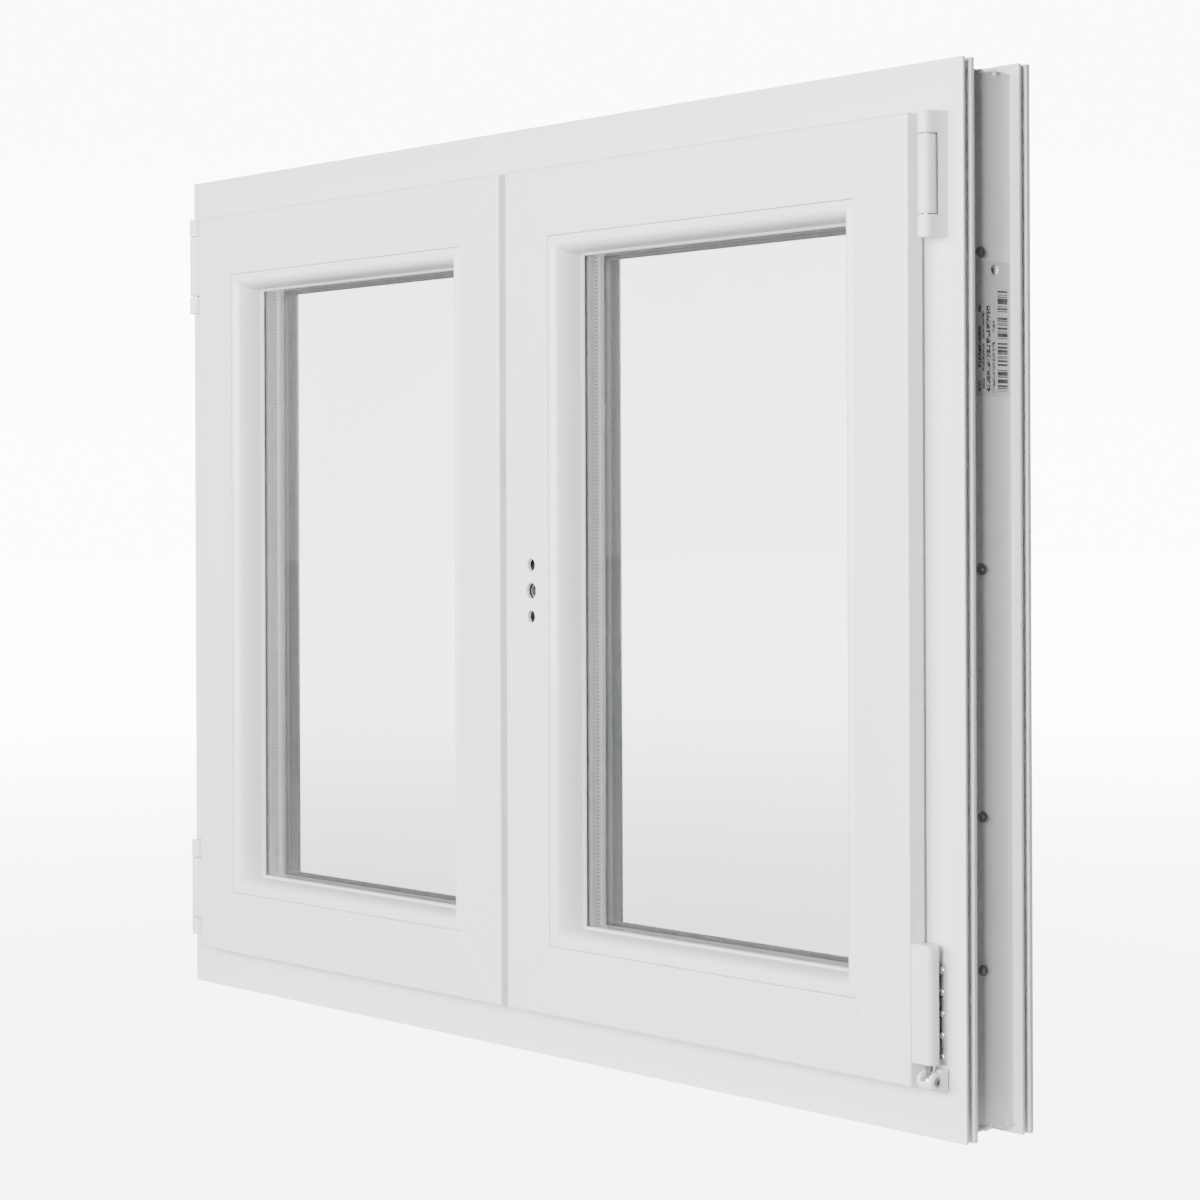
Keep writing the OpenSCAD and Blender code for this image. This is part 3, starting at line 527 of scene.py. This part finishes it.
def makeFrame():
    outline = frameOutline()
    for side, node in enumerate(["frame_sill", "frame_jamb_right", "frame_head", "frame_jamb_left"]):
        bar = mitredBar(node + "_profile", side, frameLow, frameHigh, outline, seam=frameBar["seam"],
                        groove=frameBar["seamDepth"])
        if "jamb" in node:
            cutFrom(bar, [fixingDrill(1 if "right" in node else -1)])
        else:
            cutFrom(bar, [boltDrill(node == "frame_head")])
        settle(bar, "frame", finishes["pvc"], [node])


makeFrame()


weld = {"radius": 1.5 * mm, "wander": 0.9 * mm, "steps": 46, "around": 14}


def makeWeldFlash():
    # the burr left in the outer channel where the bars were welded: a thread whose radius is
    # r (0.75 + 0.5 n) and whose middle wanders by w n, n being noise along it
    turn = np.random.default_rng(5)
    count = weld["steps"]
    depth = np.linspace(frameBar["flange"] + 1 * mm, frameBar["depth"] - frameBar["flange"] - 1 * mm,
                        count) + roomY
    around = np.linspace(0, 2 * pi, weld["around"], endpoint=False)
    inset = frameBar["recess"] + 0.1 * mm
    threads = []
    for hand in (-1, 1):
        for edge in (frameLow[2] + inset, frameHigh[2] - inset):
            rough = turn.normal(size=(count + 8, 3))
            smooth = [np.convolve(rough[:, i], np.ones(5) / 2.6, "valid")[:count] for i in range(3)]
            rough = np.stack(smooth, axis=1)
            lumps = turn.normal(size=(count, weld["around"])) * 0.12
            radius = weld["radius"] * np.clip(0.75 + 0.5 * rough[:, :1] + lumps, 0.35, 1.5)
            radius[[0, -1]] *= 0.3
            x = hand * (frameHigh[0] - inset) + weld["wander"] * rough[:, 1:2] * 0.4 + radius * np.cos(around)
            z = edge + weld["wander"] * rough[:, 2:3] * 0.4 + radius * np.sin(around)
            threads.append(loft("thread", np.stack([x, depth[:, None] + 0 * x, z], axis=-1)))
    settle(joined("weld_flash", threads), "frame", finishes["pvc"])


makeWeldFlash()
print("frame profiles made")


leafBar = {
    "face": 57.5 * mm, "depth": 70 * mm, "flangeThickness": 15 * mm, "flangeWidth": 20 * mm,
    "legStart": 55.5 * mm, "legReach": 74.7 * mm,
}


def leafOutline():
    # the leaf's section from its outer edge inwards
    b = leafBar
    points = np.array([
        (0, 0, 2.6), (b["face"], 0, 0.9), (b["face"], b["legStart"], 0.3),
        (b["legReach"], b["legStart"], 1.2), (b["legReach"], b["depth"] - 6 * mm, 1.5),
        (b["legReach"] - 5 * mm, b["depth"], 1.5),
        (b["flangeWidth"], b["depth"], 1.0), (b["flangeWidth"], b["flangeThickness"], 0.5),
        (0, b["flangeThickness"], 0.5),
    ])
    outline = roundedOutline(points[:, :2], points[:, 2] * mm, 6)
    outline[:, 1] += leafY
    return outline


bead = {"start": 57.7 * mm, "width": 14.0 * mm, "depth": 25.5 * mm, "drop": 0.7 * mm, "joint": 0.3 * mm,
        "strip": 4.4 * mm, "line": 0.3 * mm}


def beadOutline():
    # a flat foot against the rebate and a convex curve u = w sin(a), y = d cos(a)^0.8 down to the glass
    a = np.linspace(0, pi / 2, 22)
    flat = bead["strip"]
    curveU = bead["start"] + flat + 0.6 * mm + (bead["width"] - flat - 0.6 * mm) * np.sin(a)
    curveY = bead["depth"] - (bead["depth"] - bead["drop"]) * np.maximum(np.cos(a), 0) ** 0.8
    shoulder = np.array([[bead["start"], bead["depth"]], [bead["start"], bead["drop"] + 1.2 * mm],
                         [bead["start"] + 0.35 * mm, bead["drop"] + 0.35 * mm],
                         [bead["start"] + 1.2 * mm, bead["drop"]],
                         [bead["start"] + flat - 0.3 * mm, bead["drop"]],
                         [bead["start"] + flat, bead["drop"] + bead["line"]]])
    outline = np.concatenate([shoulder, np.stack([curveU, curveY], axis=1)])
    outline[:, 1] += leafY
    return outline


handleHoles = {"backset": 35 * mm, "pitch": 43 * mm, "screwRadius": 5 * mm, "spindleRadius": 6.5 * mm,
               "wall": 3.2 * mm, "depth": 21.5 * mm, "chamber": (13 * mm, 37 * mm), "soft": 0.5 * mm}


def cutHandleHoles(bar):
    # three holes with softened rims through the wall into one chamber
    h = handleHoles
    x, soft, wall = leafBox["right"][0][0] + h["backset"], h["soft"], h["wall"]
    wide, tall = h["chamber"]
    cutters = [prism("chamber", rectangle(x - wide, midZ - tall, x + wide, midZ + tall), leafY + wall,
                     leafY + h["depth"], 0.4 * mm, "xzy")]
    for lift, r in ((-h["pitch"] / 2, h["screwRadius"]), (0, h["spindleRadius"]),
                    (h["pitch"] / 2, h["screwRadius"])):
        cutters.append(turned("drill", (x, leafY - 2 * mm, midZ + lift), (0, 1, 0),
                              [0, r + soft + 1.5 * mm, r + soft, r + 0.15 * mm, r, r, 0],
                              [0, 0, 2 * mm, 2.3 * mm, 2.6 * mm, 3 * mm + wall, 3 * mm + wall], 56))
    return cutFrom(bar, cutters)


def makeGearCover():
    # the dark face of the gear seen through the handle holes, with a collar round the spindle
    h = handleHoles
    x, back = leafBox["right"][0][0] + h["backset"], leafY + h["depth"]
    wide, tall = h["chamber"]
    wide, tall = wide - 1 * mm, tall - 1 * mm
    plate = prism("gear_cover", rectangle(x - wide, midZ - tall, x + wide, midZ + tall),
                  leafY + 8 * mm, back - 0.5 * mm, 0.4 * mm, "xzy")
    collar = turned("spindle_collar", (x, leafY + 11 * mm, midZ), (0, -1, 0),
                    [0, 3.6 * mm, 3.8 * mm, 5.6 * mm, 6 * mm, 6 * mm, 0],
                    [4.5 * mm, 4.5 * mm, 6.6 * mm, 6.6 * mm, 6.2 * mm, 0, 0], 48)
    settle(plate, "right_leaf", finishes["screw"])
    settle(collar, "right_leaf", finishes["dark"])


def makeLeaf(side):
    low, high = leafBox[side]
    outline, beadShape = leafOutline(), beadOutline()
    meeting, hinge = ("right", "left") if side == "left" else ("left", "right")
    nodes = {"bottom": "_bottom_rail", "top": "_top_rail", meeting: "_meeting_stile", hinge: "_hinge_stile"}
    for turn, place in enumerate(("bottom", "right", "top", "left")):
        node = side + nodes[place]
        bar = mitredBar(node + "_profile", turn, low, high, outline, seam=1.0 * mm, groove=0.28 * mm)
        if node == "right_meeting_stile":
            cutHandleHoles(bar)
        settle(bar, side + "_leaf", finishes["pvc"], [node])
        strip = mitredBar(side + "_bead_" + place, turn, low, high, beadShape, seam=0.3 * mm,
                          groove=0.06 * mm, gap=bead["joint"] / 2)
        settle(strip, side + "_leaf", finishes["pvc"], [side + "_beads"])


for side in ("left", "right"):
    makeLeaf(side)
makeGearCover()
print("leaves made")


seals = {"beadBack": 25.5 * mm, "glassFront": 28.5 * mm, "glassBack": 52.5 * mm, "legStart": 55.5 * mm,
         "beadReach": 71.7 * mm, "legReach": 74.7 * mm, "start": 64.7 * mm, "lip": 2.1 * mm}


def makeSeals(side):
    low, high = leafBox[side]
    s = seals
    # a seal with a flat back, its visible lip a rounded nose that presses on the pane
    room = roundedOutline([(s["start"], s["beadBack"]),
                           (s["beadReach"] + s["lip"] * 0.4, s["beadBack"] - 0.3 * mm),
                           (s["beadReach"] + s["lip"], s["glassFront"] - 1.2 * mm),
                           (s["beadReach"] + s["lip"] * 0.7, s["glassFront"]), (s["start"], s["glassFront"])],
                          0.6 * mm, 4)
    outer = roundedOutline([(s["start"], s["glassBack"]), (s["legReach"] + s["lip"] * 0.7, s["glassBack"]),
                            (s["legReach"] + s["lip"], s["glassBack"] + 1.2 * mm),
                            (s["legReach"] + s["lip"] * 0.3, s["legStart"] + 0.2 * mm),
                            (s["start"], s["legStart"])],
                           0.6 * mm, 4)
    for name, outline in (("room", room), ("outer", outer)):
        outline[:, 1] += leafY
        ring = sweptRing(side + "_" + name + "_glazing_gasket", low, high, outline)
        settle(ring, side + "_leaf", finishes["gasket"], [side + "_glazing_gaskets"])
    # the overlap seal: a foot in the flange and a hollow lip towards the frame
    gap = roomY - (leafY + leafBar["flangeThickness"])
    top = leafY + leafBar["flangeThickness"]
    lip = roundedOutline([(0.5 * mm, top), (0.4 * mm, top + gap * 0.5), (0.9 * mm, top + gap * 0.76),
                          (3.2 * mm, top + gap * 0.76), (4.6 * mm, top + gap * 0.4), (6.0 * mm, top)],
                         0.6 * mm, 5)
    ring = sweptRing(side + "_overlap_gasket", low, high, lip)
    if side == "right":
        tabLow = boxOf("stay_arm")[0]
        cutter = prism("gap",
                       rectangle(high[0] - 12 * mm, tabLow[2] - 2 * mm, high[0] + 2 * mm, high[2] - 7 * mm),
                       top - 2 * mm, roomY + 2 * mm, 0.1 * mm, "xzy")
        cutFrom(ring, [cutter])
    settle(ring, side + "_leaf", finishes["overlap"], [side + "_leaf_gasket"])


for side in ("left", "right"):
    makeSeals(side)


spacerHeight = 6.6 * mm


def makeSpacer(side):
    # roll-formed bar: two raised shoulders beside a sunk track with the breather holes
    low, high = boxOf(side + "_spacer")
    d, h = high[1] - low[1], spacerHeight
    outline = roundedOutline([(0, 0.1 * mm), (h - 0.3 * mm, 0.05 * mm), (h, 1.2 * mm), (h, 4.2 * mm),
                              (h - 0.5 * mm, 4.8 * mm), (h - 0.5 * mm, d - 4.8 * mm), (h, d - 4.2 * mm),
                              (h, d - 1.2 * mm), (h - 0.5 * mm, d - 0.2 * mm), (0, d - 0.3 * mm)],
                             0.25 * mm, 3)
    outline[:, 1] += low[1]
    ring = sweptRing(side + "_spacer_bar", low, high, outline)
    settle(ring, side + "_leaf", finishes["spacer"], [side + "_spacer"])


for side in ("left", "right"):
    makeSpacer(side)


def makeFrameGasket():
    low, high = boxOf("frame_gasket")
    y0, y1 = low[1], high[1]
    outline = roundedOutline([(0, y1), (0.3 * mm, y0 + 1.0 * mm), (1.2 * mm, y0), (3.4 * mm, y0 + 0.4 * mm),
                              (5 * mm, y0 + 1.8 * mm), (5 * mm, y1)], 0.7 * mm, 4)
    ring = sweptRing("frame_stop_gasket", low, high, outline)
    settle(ring, "frame", finishes["gasket"], ["frame_gasket"])


makeFrameGasket()
print("seals made")

hinge = {"height": 91 * mm, "end": 16 * mm, "radius": 7 * mm, "plateHalf": 9.5 * mm, "plate": 4.3 * mm,
         "sideStart": 3.0 * mm, "tipBack": 4.9 * mm, "gap": 1.0 * mm, "chamfer": 0.45 * mm,
         "pinHole": 3.3 * mm}


def bracketOutlines(hand):
    # the end: a half round in front of the axis whose flanks run straight to the foot's corners;
    # the side between the ends: the free flank alone, clear of the turning knuckle
    reach, r, deep = hinge["plateHalf"], hinge["radius"], roomY - axisY
    lean = atan2(deep, reach) - np.arccos(r / np.hypot(deep, reach))
    a = np.linspace(pi - lean, 2 * pi + lean, 34)
    end = np.concatenate([np.stack([r * np.cos(a), r * np.sin(a)], axis=1), [[reach, deep], [-reach, deep]]])
    touch = np.array([r * cos(lean), r * sin(lean)])
    flank = np.array([reach, deep]) - touch
    tip = touch + flank / np.hypot(*flank) * hinge["tipBack"]
    side = np.array([tip, [reach, deep], [hinge["sideStart"], deep],
                     [hinge["sideStart"], deep - hinge["plate"]]])
    shift = np.array([hand * axisX, axisY])
    return [outline * np.array([hand, 1.0]) + shift for outline in (end, side)]


def makeBracket(name, hand, low):
    end, side = bracketOutlines(hand)
    high = low + hinge["height"]
    starts = (low, high - hinge["end"])
    parts = [prism("end", end, start, start + hinge["end"], hinge["chamfer"]) for start in starts]
    parts.append(prism("side", side, low + hinge["end"] - 1 * mm, high - hinge["end"] + 1 * mm, 0.1 * mm))
    return joined(name, parts)


def makeTube(x, low, high, r, bore, chamfer):
    # a ring section turned about the hinge axis: both rims chamfered, the bore straight
    c = chamfer
    section = [(bore, low), (r - c, low), (r - 0.3 * c, low + 0.3 * c), (r, low + c), (r, high - c),
               (r - 0.3 * c, high - 0.3 * c), (r - c, high), (bore, high)]
    a = np.linspace(0, 2 * pi, 56, endpoint=False)[None, :]
    radii = np.array([p[0] for p in section])[:, None]
    lift = np.array([p[1] for p in section])[:, None]
    rows = np.stack([x + radii * np.cos(a), axisY + radii * np.sin(a), lift + 0 * a], axis=-1)
    return loft("tube", rows, closed=True)


def makeHinges():
    height, end, gap = hinge["height"], hinge["end"], hinge["gap"]
    top = boxOf("stay_bearing")
    settle(makeBracket("stay_bearing_cover", 1, top[0][2]), "frame", finishes["cover"],
           ["stay_bearing"])
    brackets, bands = [], []
    lows = [boxOf("left_hinge_brackets")[0][2], boxOf("left_hinge_brackets")[1][2] - height]
    edge = leafBox["left"][0][0]
    for low in lows:
        start, stop = low + end + gap, low + height - end - gap
        brackets.append(makeBracket("bracket", -1, low))
        bands.append(makeTube(-axisX, start, stop, hinge["radius"] - 0.2 * mm, hinge["pinHole"],
                              hinge["chamfer"]))
        bridge = rectangle(-axisX + 4.5 * mm, axisY - 5.5 * mm, edge, axisY + 5 * mm)
        bands.append(prism("bridge", bridge, start, stop, 0.4 * mm))
    settle(joined("left_hinge_covers", brackets), "frame", finishes["cover"],
           ["left_hinge_brackets"])
    settle(joined("left_hinge_leaves", bands), "left_leaf", finishes["cover"],
           ["left_hinge_bands"])
    # the stay: turning knuckle, tab behind the leaf's flange, angle and long arm
    low, high = boxOf("stay_arm")
    start, stop = top[0][2] + end + gap, top[1][2] - end - gap
    inner = frameHigh[0] - frameBar["roomLeg"]
    tabY = leafY + leafBar["flangeThickness"] + 0.75 * mm
    armZ = leafBox["right"][1][2] - 13 * mm
    gearY = leafY + leafBar["flangeThickness"] + 13 * mm
    pieces = [makeTube(axisX, start, stop, hinge["radius"] - 0.2 * mm, hinge["pinHole"], hinge["chamfer"]),
              prism("web", rectangle(axisX - 6.4 * mm, axisY + 1.5 * mm, axisX - 4.2 * mm, tabY + 1.6 * mm),
                    start, stop, 0.3 * mm),
              prism("tab", rectangle(inner - 5 * mm, tabY, axisX - 4.2 * mm, tabY + 1.6 * mm), start, stop,
                    0.3 * mm),
              prism("angle", rectangle(inner - 5 * mm, tabY, inner - 3 * mm, gearY + 5 * mm),
                    armZ - 32 * mm, high[2], 0.3 * mm)]
    bar = np.array([[low[0], armZ], [inner - 3 * mm, armZ], [inner - 3 * mm, high[2]], [low[0], high[2]]])
    pieces.append(prism("arm", roundedOutline(bar, 1.0 * mm, 5), gearY - 5 * mm, gearY + 5 * mm, 0.5 * mm,
                        "xzy"))
    settle(joined("stay_lever", pieces), "stay", finishes["cover"], ["stay_arm"])


def makeBand():
    # the flat cover strip and its knuckle: near the top the section is cut back to
    # x <= r - (R - sqrt(R^2 - t^2)), which rounds the free corner
    low, high = boxOf("right_hinge_band")
    reach, crown = high[0] - axisX, 5.0 * mm
    a = np.linspace(-pi / 2, pi / 2, 26)
    front = low[1]
    nose = np.stack([axisX + reach * np.cos(a), axisY + reach * np.sin(a)], axis=1)
    flat = np.array([[low[0], axisY + reach - 2 * mm], [low[0], front + 1.3 * mm],
                     [axisX - 4 * mm, front + 0.6 * mm]])
    outline = np.concatenate([nose, flat])
    t = np.sin(np.linspace(0, pi / 2, 9)) * crown
    levels = [(low[2], 0.4 * mm, 9.0), (low[2] + 0.4 * mm, 0.0, 9.0), (low[2] + 0.8 * mm, 0.0, 9.0)]
    for step in t:
        levels.append((high[2] - crown + step * 0.98, 0.0, crown - np.sqrt(max(crown ** 2 - step ** 2, 0))))
    levels += [(high[2], 0.3 * mm, crown + 0.3 * mm)]
    rows = []
    for lift, inset, cutBack in levels:
        shape = insetOutline(outline, inset)
        if cutBack < 1.0:
            shape[:, 0] = np.minimum(shape[:, 0], axisX + reach - cutBack)
        rows.append(np.column_stack([shape, np.full(len(shape), lift)]))
    band = loft("right_hinge_cover", np.array(rows))
    pin = boxOf("pivot_pin")
    drill = turned("drill", (axisX, axisY, low[2] - 1 * mm), (0, 0, 1), [0, 3.5 * mm, 3.5 * mm, 0],
                   [0, 0, pin[1][2] - low[2] + 1.2 * mm, pin[1][2] - low[2] + 1.2 * mm], 40)
    cutFrom(band, [drill])
    settle(band, "right_leaf", finishes["cover"], ["right_hinge_band"])


bearing = {"barrel": 6.8 * mm, "ring": 4.9 * mm, "screw": 3.65 * mm, "socket": 5.2 * mm, "slot": 4 * mm}


def makeBearing():
    low, high = boxOf("corner_bearing")
    ballZ = (boxOf("pivot_ball")[0][2] + boxOf("pivot_ball")[1][2]) / 2
    b = bearing
    r = b["barrel"]
    ends = [0, r - 1.3 * mm, r - 0.5 * mm, r, r, r - 0.5 * mm, b["ring"] + 0.5 * mm, b["ring"] + 0.1 * mm,
            b["ring"] - 0.1 * mm, b["screw"] + 0.25 * mm, b["screw"], 0]
    along = [low[0], low[0], low[0] + 0.4 * mm, low[0] + 1.2 * mm, high[0] - 1.6 * mm, high[0] - 0.7 * mm,
             high[0] - 0.55 * mm, high[0] - 0.15 * mm, high[0], high[0], high[0] - 2.0 * mm,
             high[0] - 2.0 * mm]
    barrel = turned("barrel", (0, axisY, ballZ), (1, 0, 0), ends, along, 64)
    foot = roundedOutline([(roomY, low[2]), (roomY, high[2]), (axisY + 2.5 * mm, high[2]),
                           (axisY + 2.5 * mm, low[2])], [0.2 * mm, 0.2 * mm, 3.2 * mm, 3.2 * mm], 8)
    block = prism("block", foot, low[0], high[0] - 0.3 * mm, 0.9 * mm, "yzx")
    arc = np.linspace(0.001, pi - 0.001, 20)
    mouth = rectangle(axisX - b["slot"], axisY - b["slot"] - 4 * mm, axisX + b["slot"] + 0.8 * mm,
                      axisY + b["slot"])
    for piece in (barrel, block):
        socket = turned("socket", (axisX, axisY, ballZ), (0, 0, 1), b["socket"] * np.sin(arc),
                        -b["socket"] * np.cos(arc), 40)
        slot = prism("slot", mouth, ballZ + 0.3 * mm, ballZ + 12 * mm, 0.1 * mm)
        cutFrom(piece, [socket, slot])
    settle(joined("bearing_housing", [barrel, block]), "frame", finishes["cover"],
           ["corner_bearing"])


rivets = {"count": 5, "first": 4.5 * mm, "pitch": 15.6 * mm, "aside": 2.9 * mm, "radius": 2.9 * mm}


def makePlate():
    # the plate under the hinge cover with its row of hollow rivets
    low, high = boxOf("corner_plate")
    half = (high[0] - low[0]) / 2
    a = np.linspace(0, pi, 18)
    arch = np.stack([(low[0] + high[0]) / 2 + half * np.cos(a), high[2] - half + half * np.sin(a)], axis=1)
    outline = np.concatenate([arch, [[low[0], low[2]], [high[0], low[2]]]])
    plate = prism("plate", outline, roomY - 2 * mm, roomY, 0.35 * mm, "xzy")
    settle(plate, "frame", finishes["zinc"], ["corner_plate"])
    heads, r = [], rivets["radius"]
    for i in range(rivets["count"]):
        spot = (axisX + rivets["aside"], roomY, low[2] + 1.5 * mm + rivets["first"] + i * rivets["pitch"])
        heads.append(turned("head", spot, (0, -1, 0),
                            [0, r, r, r - 0.25 * mm, r - 0.9 * mm, 1.25 * mm, 1.0 * mm, 0.9 * mm, 0],
                            [1.9 * mm, 1.9 * mm, 2.5 * mm, 3.0 * mm, 3.4 * mm, 3.45 * mm, 3.2 * mm,
                             2.3 * mm, 2.2 * mm], 36))
    settle(joined("plate_rivets", heads), "frame", finishes["chrome"], ["corner_plate"])


makeHinges()
makeBand()
makeBearing()
makePlate()
print("hinges made")


kept = {
    "glass": ["left_room_pane", "left_outer_pane", "right_room_pane", "right_outer_pane"],
    "sealant": ["left_edge_seal", "right_edge_seal"],
    "plastic": ["left_setting_blocks", "right_setting_blocks", "astragal_caps"],
    "zinc": ["frame_reinforcement", "left_reinforcement", "right_reinforcement", "frame_keeps",
             "astragal_keeps", "gear_faceplate", "gearbox", "drive_rod", "stay_guide", "top_flush_bolt",
             "bottom_flush_bolt", "pivot_ball"],
    "chrome": ["stay_bearing_pin", "left_hinge_pins", "pivot_pin", "keep_screws"],
    "dark": ["handle_hub", "bearing_screw"],
    "screw": ["reinforcement_screws"],
    "cover": ["drain_caps"],
    "pvc": ["astragal", "meeting_profile"],
    "label": ["type_label"],
}
for key, names in kept.items():
    for name in names:
        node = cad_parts[name]
        node.data.materials.clear()
        node.data.materials.append(finishes[key])
print("CAD nodes finished")

camera = {"yaw": 51.03, "distance": 2.193, "aside": 0.2607, "height": 0.4463, "lens": 91.95, "rise": -0.0641,
          "roll": -0.212}


def makeCamera():
    # level camera to the right of the window, looking along the yaw from +Y towards -X
    c = camera
    a = radians(c["yaw"])
    forward = Vector((-sin(a), cos(a), 0))
    right = Vector((cos(a), sin(a), 0))
    corner = Vector((frameHigh[0], roomY, 0))
    spot = corner - right * c["aside"] - forward * c["distance"] + Vector((0, 0, frameLow[2] + c["height"]))
    data = bpy.data.cameras.new("camera")
    data.sensor_width, data.lens = 36.0, c["lens"]
    data.shift_y = c["rise"]
    data.clip_start, data.clip_end = 0.05, 50
    item = bpy.data.objects.new("camera", data)
    item.location = spot
    look = forward.to_track_quat("-Z", "Y").to_matrix().to_4x4()
    item.matrix_world = Matrix.Translation(spot) @ look @ Matrix.Rotation(radians(c["roll"]), 4, "Z")
    bpy.context.scene.collection.objects.link(item)
    bpy.context.scene.camera = item


makeCamera()


def softBox(name, place, target, size, power):
    data = bpy.data.lights.new(name, "AREA")
    data.shape, data.size, data.size_y = "RECTANGLE", size[0], size[1]
    data.energy = power
    lamp = bpy.data.objects.new(name, data)
    lamp.location = place
    lamp.rotation_euler = (Vector(target) - Vector(place)).to_track_quat("-Z", "Y").to_euler()
    bpy.context.scene.collection.objects.link(lamp)


light = {"key": 250, "fill": 206, "back": 150, "top": 8, "ambient": 0.17, "horizon": 16.5, "overhead": 14.0,
         "floor": 8.0, "glow": 0.6, "under": 2.0}
centre = Vector((0, roomY, midZ))


def aim(turn, lift, away):
    # a place this many degrees round from the window's front, this many up, at this distance
    a, b = radians(turn), radians(lift)
    return centre + Vector((sin(a) * cos(b), -cos(a) * cos(b), sin(b))) * away


softBox("keyLight", aim(-14, 6, 3.0), centre, (2.0, 2.0), light["key"])
softBox("fillLight", aim(29, 8, 3.2), centre, (0.8, 2.0), light["fill"])
softBox("backLight", aim(196, 14, 3.0), centre, (2.4, 2.0), light["back"])
softBox("topLight", aim(0, 84, 2.6), centre, (2.0, 1.6), light["top"])


def makeWorld():
    # white for the camera; for everything else a dim room with one soft glow ahead and to the left
    world = bpy.data.worlds.new("studio")
    world.use_nodes = True
    tree = world.node_tree
    tree.nodes.clear()

    def add(kind, settings, *inputs):
        node = tree.nodes.new(kind)
        for key, setting in settings.items():
            setattr(node, key, setting)
        for index, given in inputs:
            if isinstance(given, bpy.types.NodeSocket):
                tree.links.new(given, node.inputs[index])
            else:
                node.inputs[index].default_value = given
        return node.outputs

    where = add("ShaderNodeTexCoord", {})["Generated"]
    ahead = aim(-49, 6, 1.0) - centre
    near = add("ShaderNodeVectorMath", {"operation": "DOT_PRODUCT"}, (0, where), (1, ahead))["Value"]
    glow = add("ShaderNodeMapRange", {"interpolation_type": "SMOOTHERSTEP"}, (0, near), (1, 0.7), (2, 1.0),
               (3, light["ambient"]), (4, light["glow"]))[0]
    lift = add("ShaderNodeSeparateXYZ", {}, (0, where))[2]
    white = add("ShaderNodeMapRange", {"interpolation_type": "SMOOTHSTEP"}, (0, lift), (1, 0.02), (2, 0.13),
                (3, light["horizon"]), (4, light["overhead"]))[0]
    seen = add("ShaderNodeLightPath", {})["Is Camera Ray"]
    strength = add("ShaderNodeMix", {"data_type": "FLOAT"}, (0, seen), (2, glow), (3, white))[0]
    shown = add("ShaderNodeBackground", {}, ("Strength", strength))[0]
    add("ShaderNodeOutputWorld", {}, ("Surface", shown))
    bpy.context.scene.world = world


makeWorld()


def makeFloor():
    # a plain pale floor just under the window; to the camera it is mostly a painted glow that brightens to
    # the backdrop's white with distance
    z = frameLow[2] - 0.6 * mm
    size = 30.0
    floor = meshObject("floor", [(-size, -size, z), (size, -size, z), (size, size, z), (-size, size, z)],
                       [(0, 1, 2, 3)])
    f = Finish("floorPaintedGlow", **{"Base Color": (0.26, 0.26, 0.26, 1), "Roughness": 0.75})
    x, y = f.axes()[:2]
    away = (x * x + y * y) ** 0.5
    seen = Value(f, f.node("ShaderNodeLightPath").outputs["Is Camera Ray"])
    # painted glow: seen white in the distance and less bright near the window; for all other rays a strip of
    # floor under the window glows, painted light that reaches the window from beneath
    paintedFloorGlow = f.between(away, 0.3, 5.0) * (light["horizon"] - light["floor"]) + light["floor"]
    under = (abs(y) < 0.05) * (abs(x) < 0.55) * light["under"]
    glow = paintedFloorGlow * seen + under * (1 - seen)
    # the emission here is painted light, not a lamp
    white = f.node("ShaderNodeEmission", {}, {"Color": glow, "Strength": 1.0})
    share = seen * 0.86 + (1 - seen) * 0.5
    mixed = f.node("ShaderNodeMixShader", {}, {0: share, 1: f.shader.outputs[0], 2: white.outputs[0]})
    f.tree.links.new(mixed.outputs[0], f.output.inputs["Surface"])
    floor.data.materials.append(f.material)


makeFloor()
print("camera and lights set")
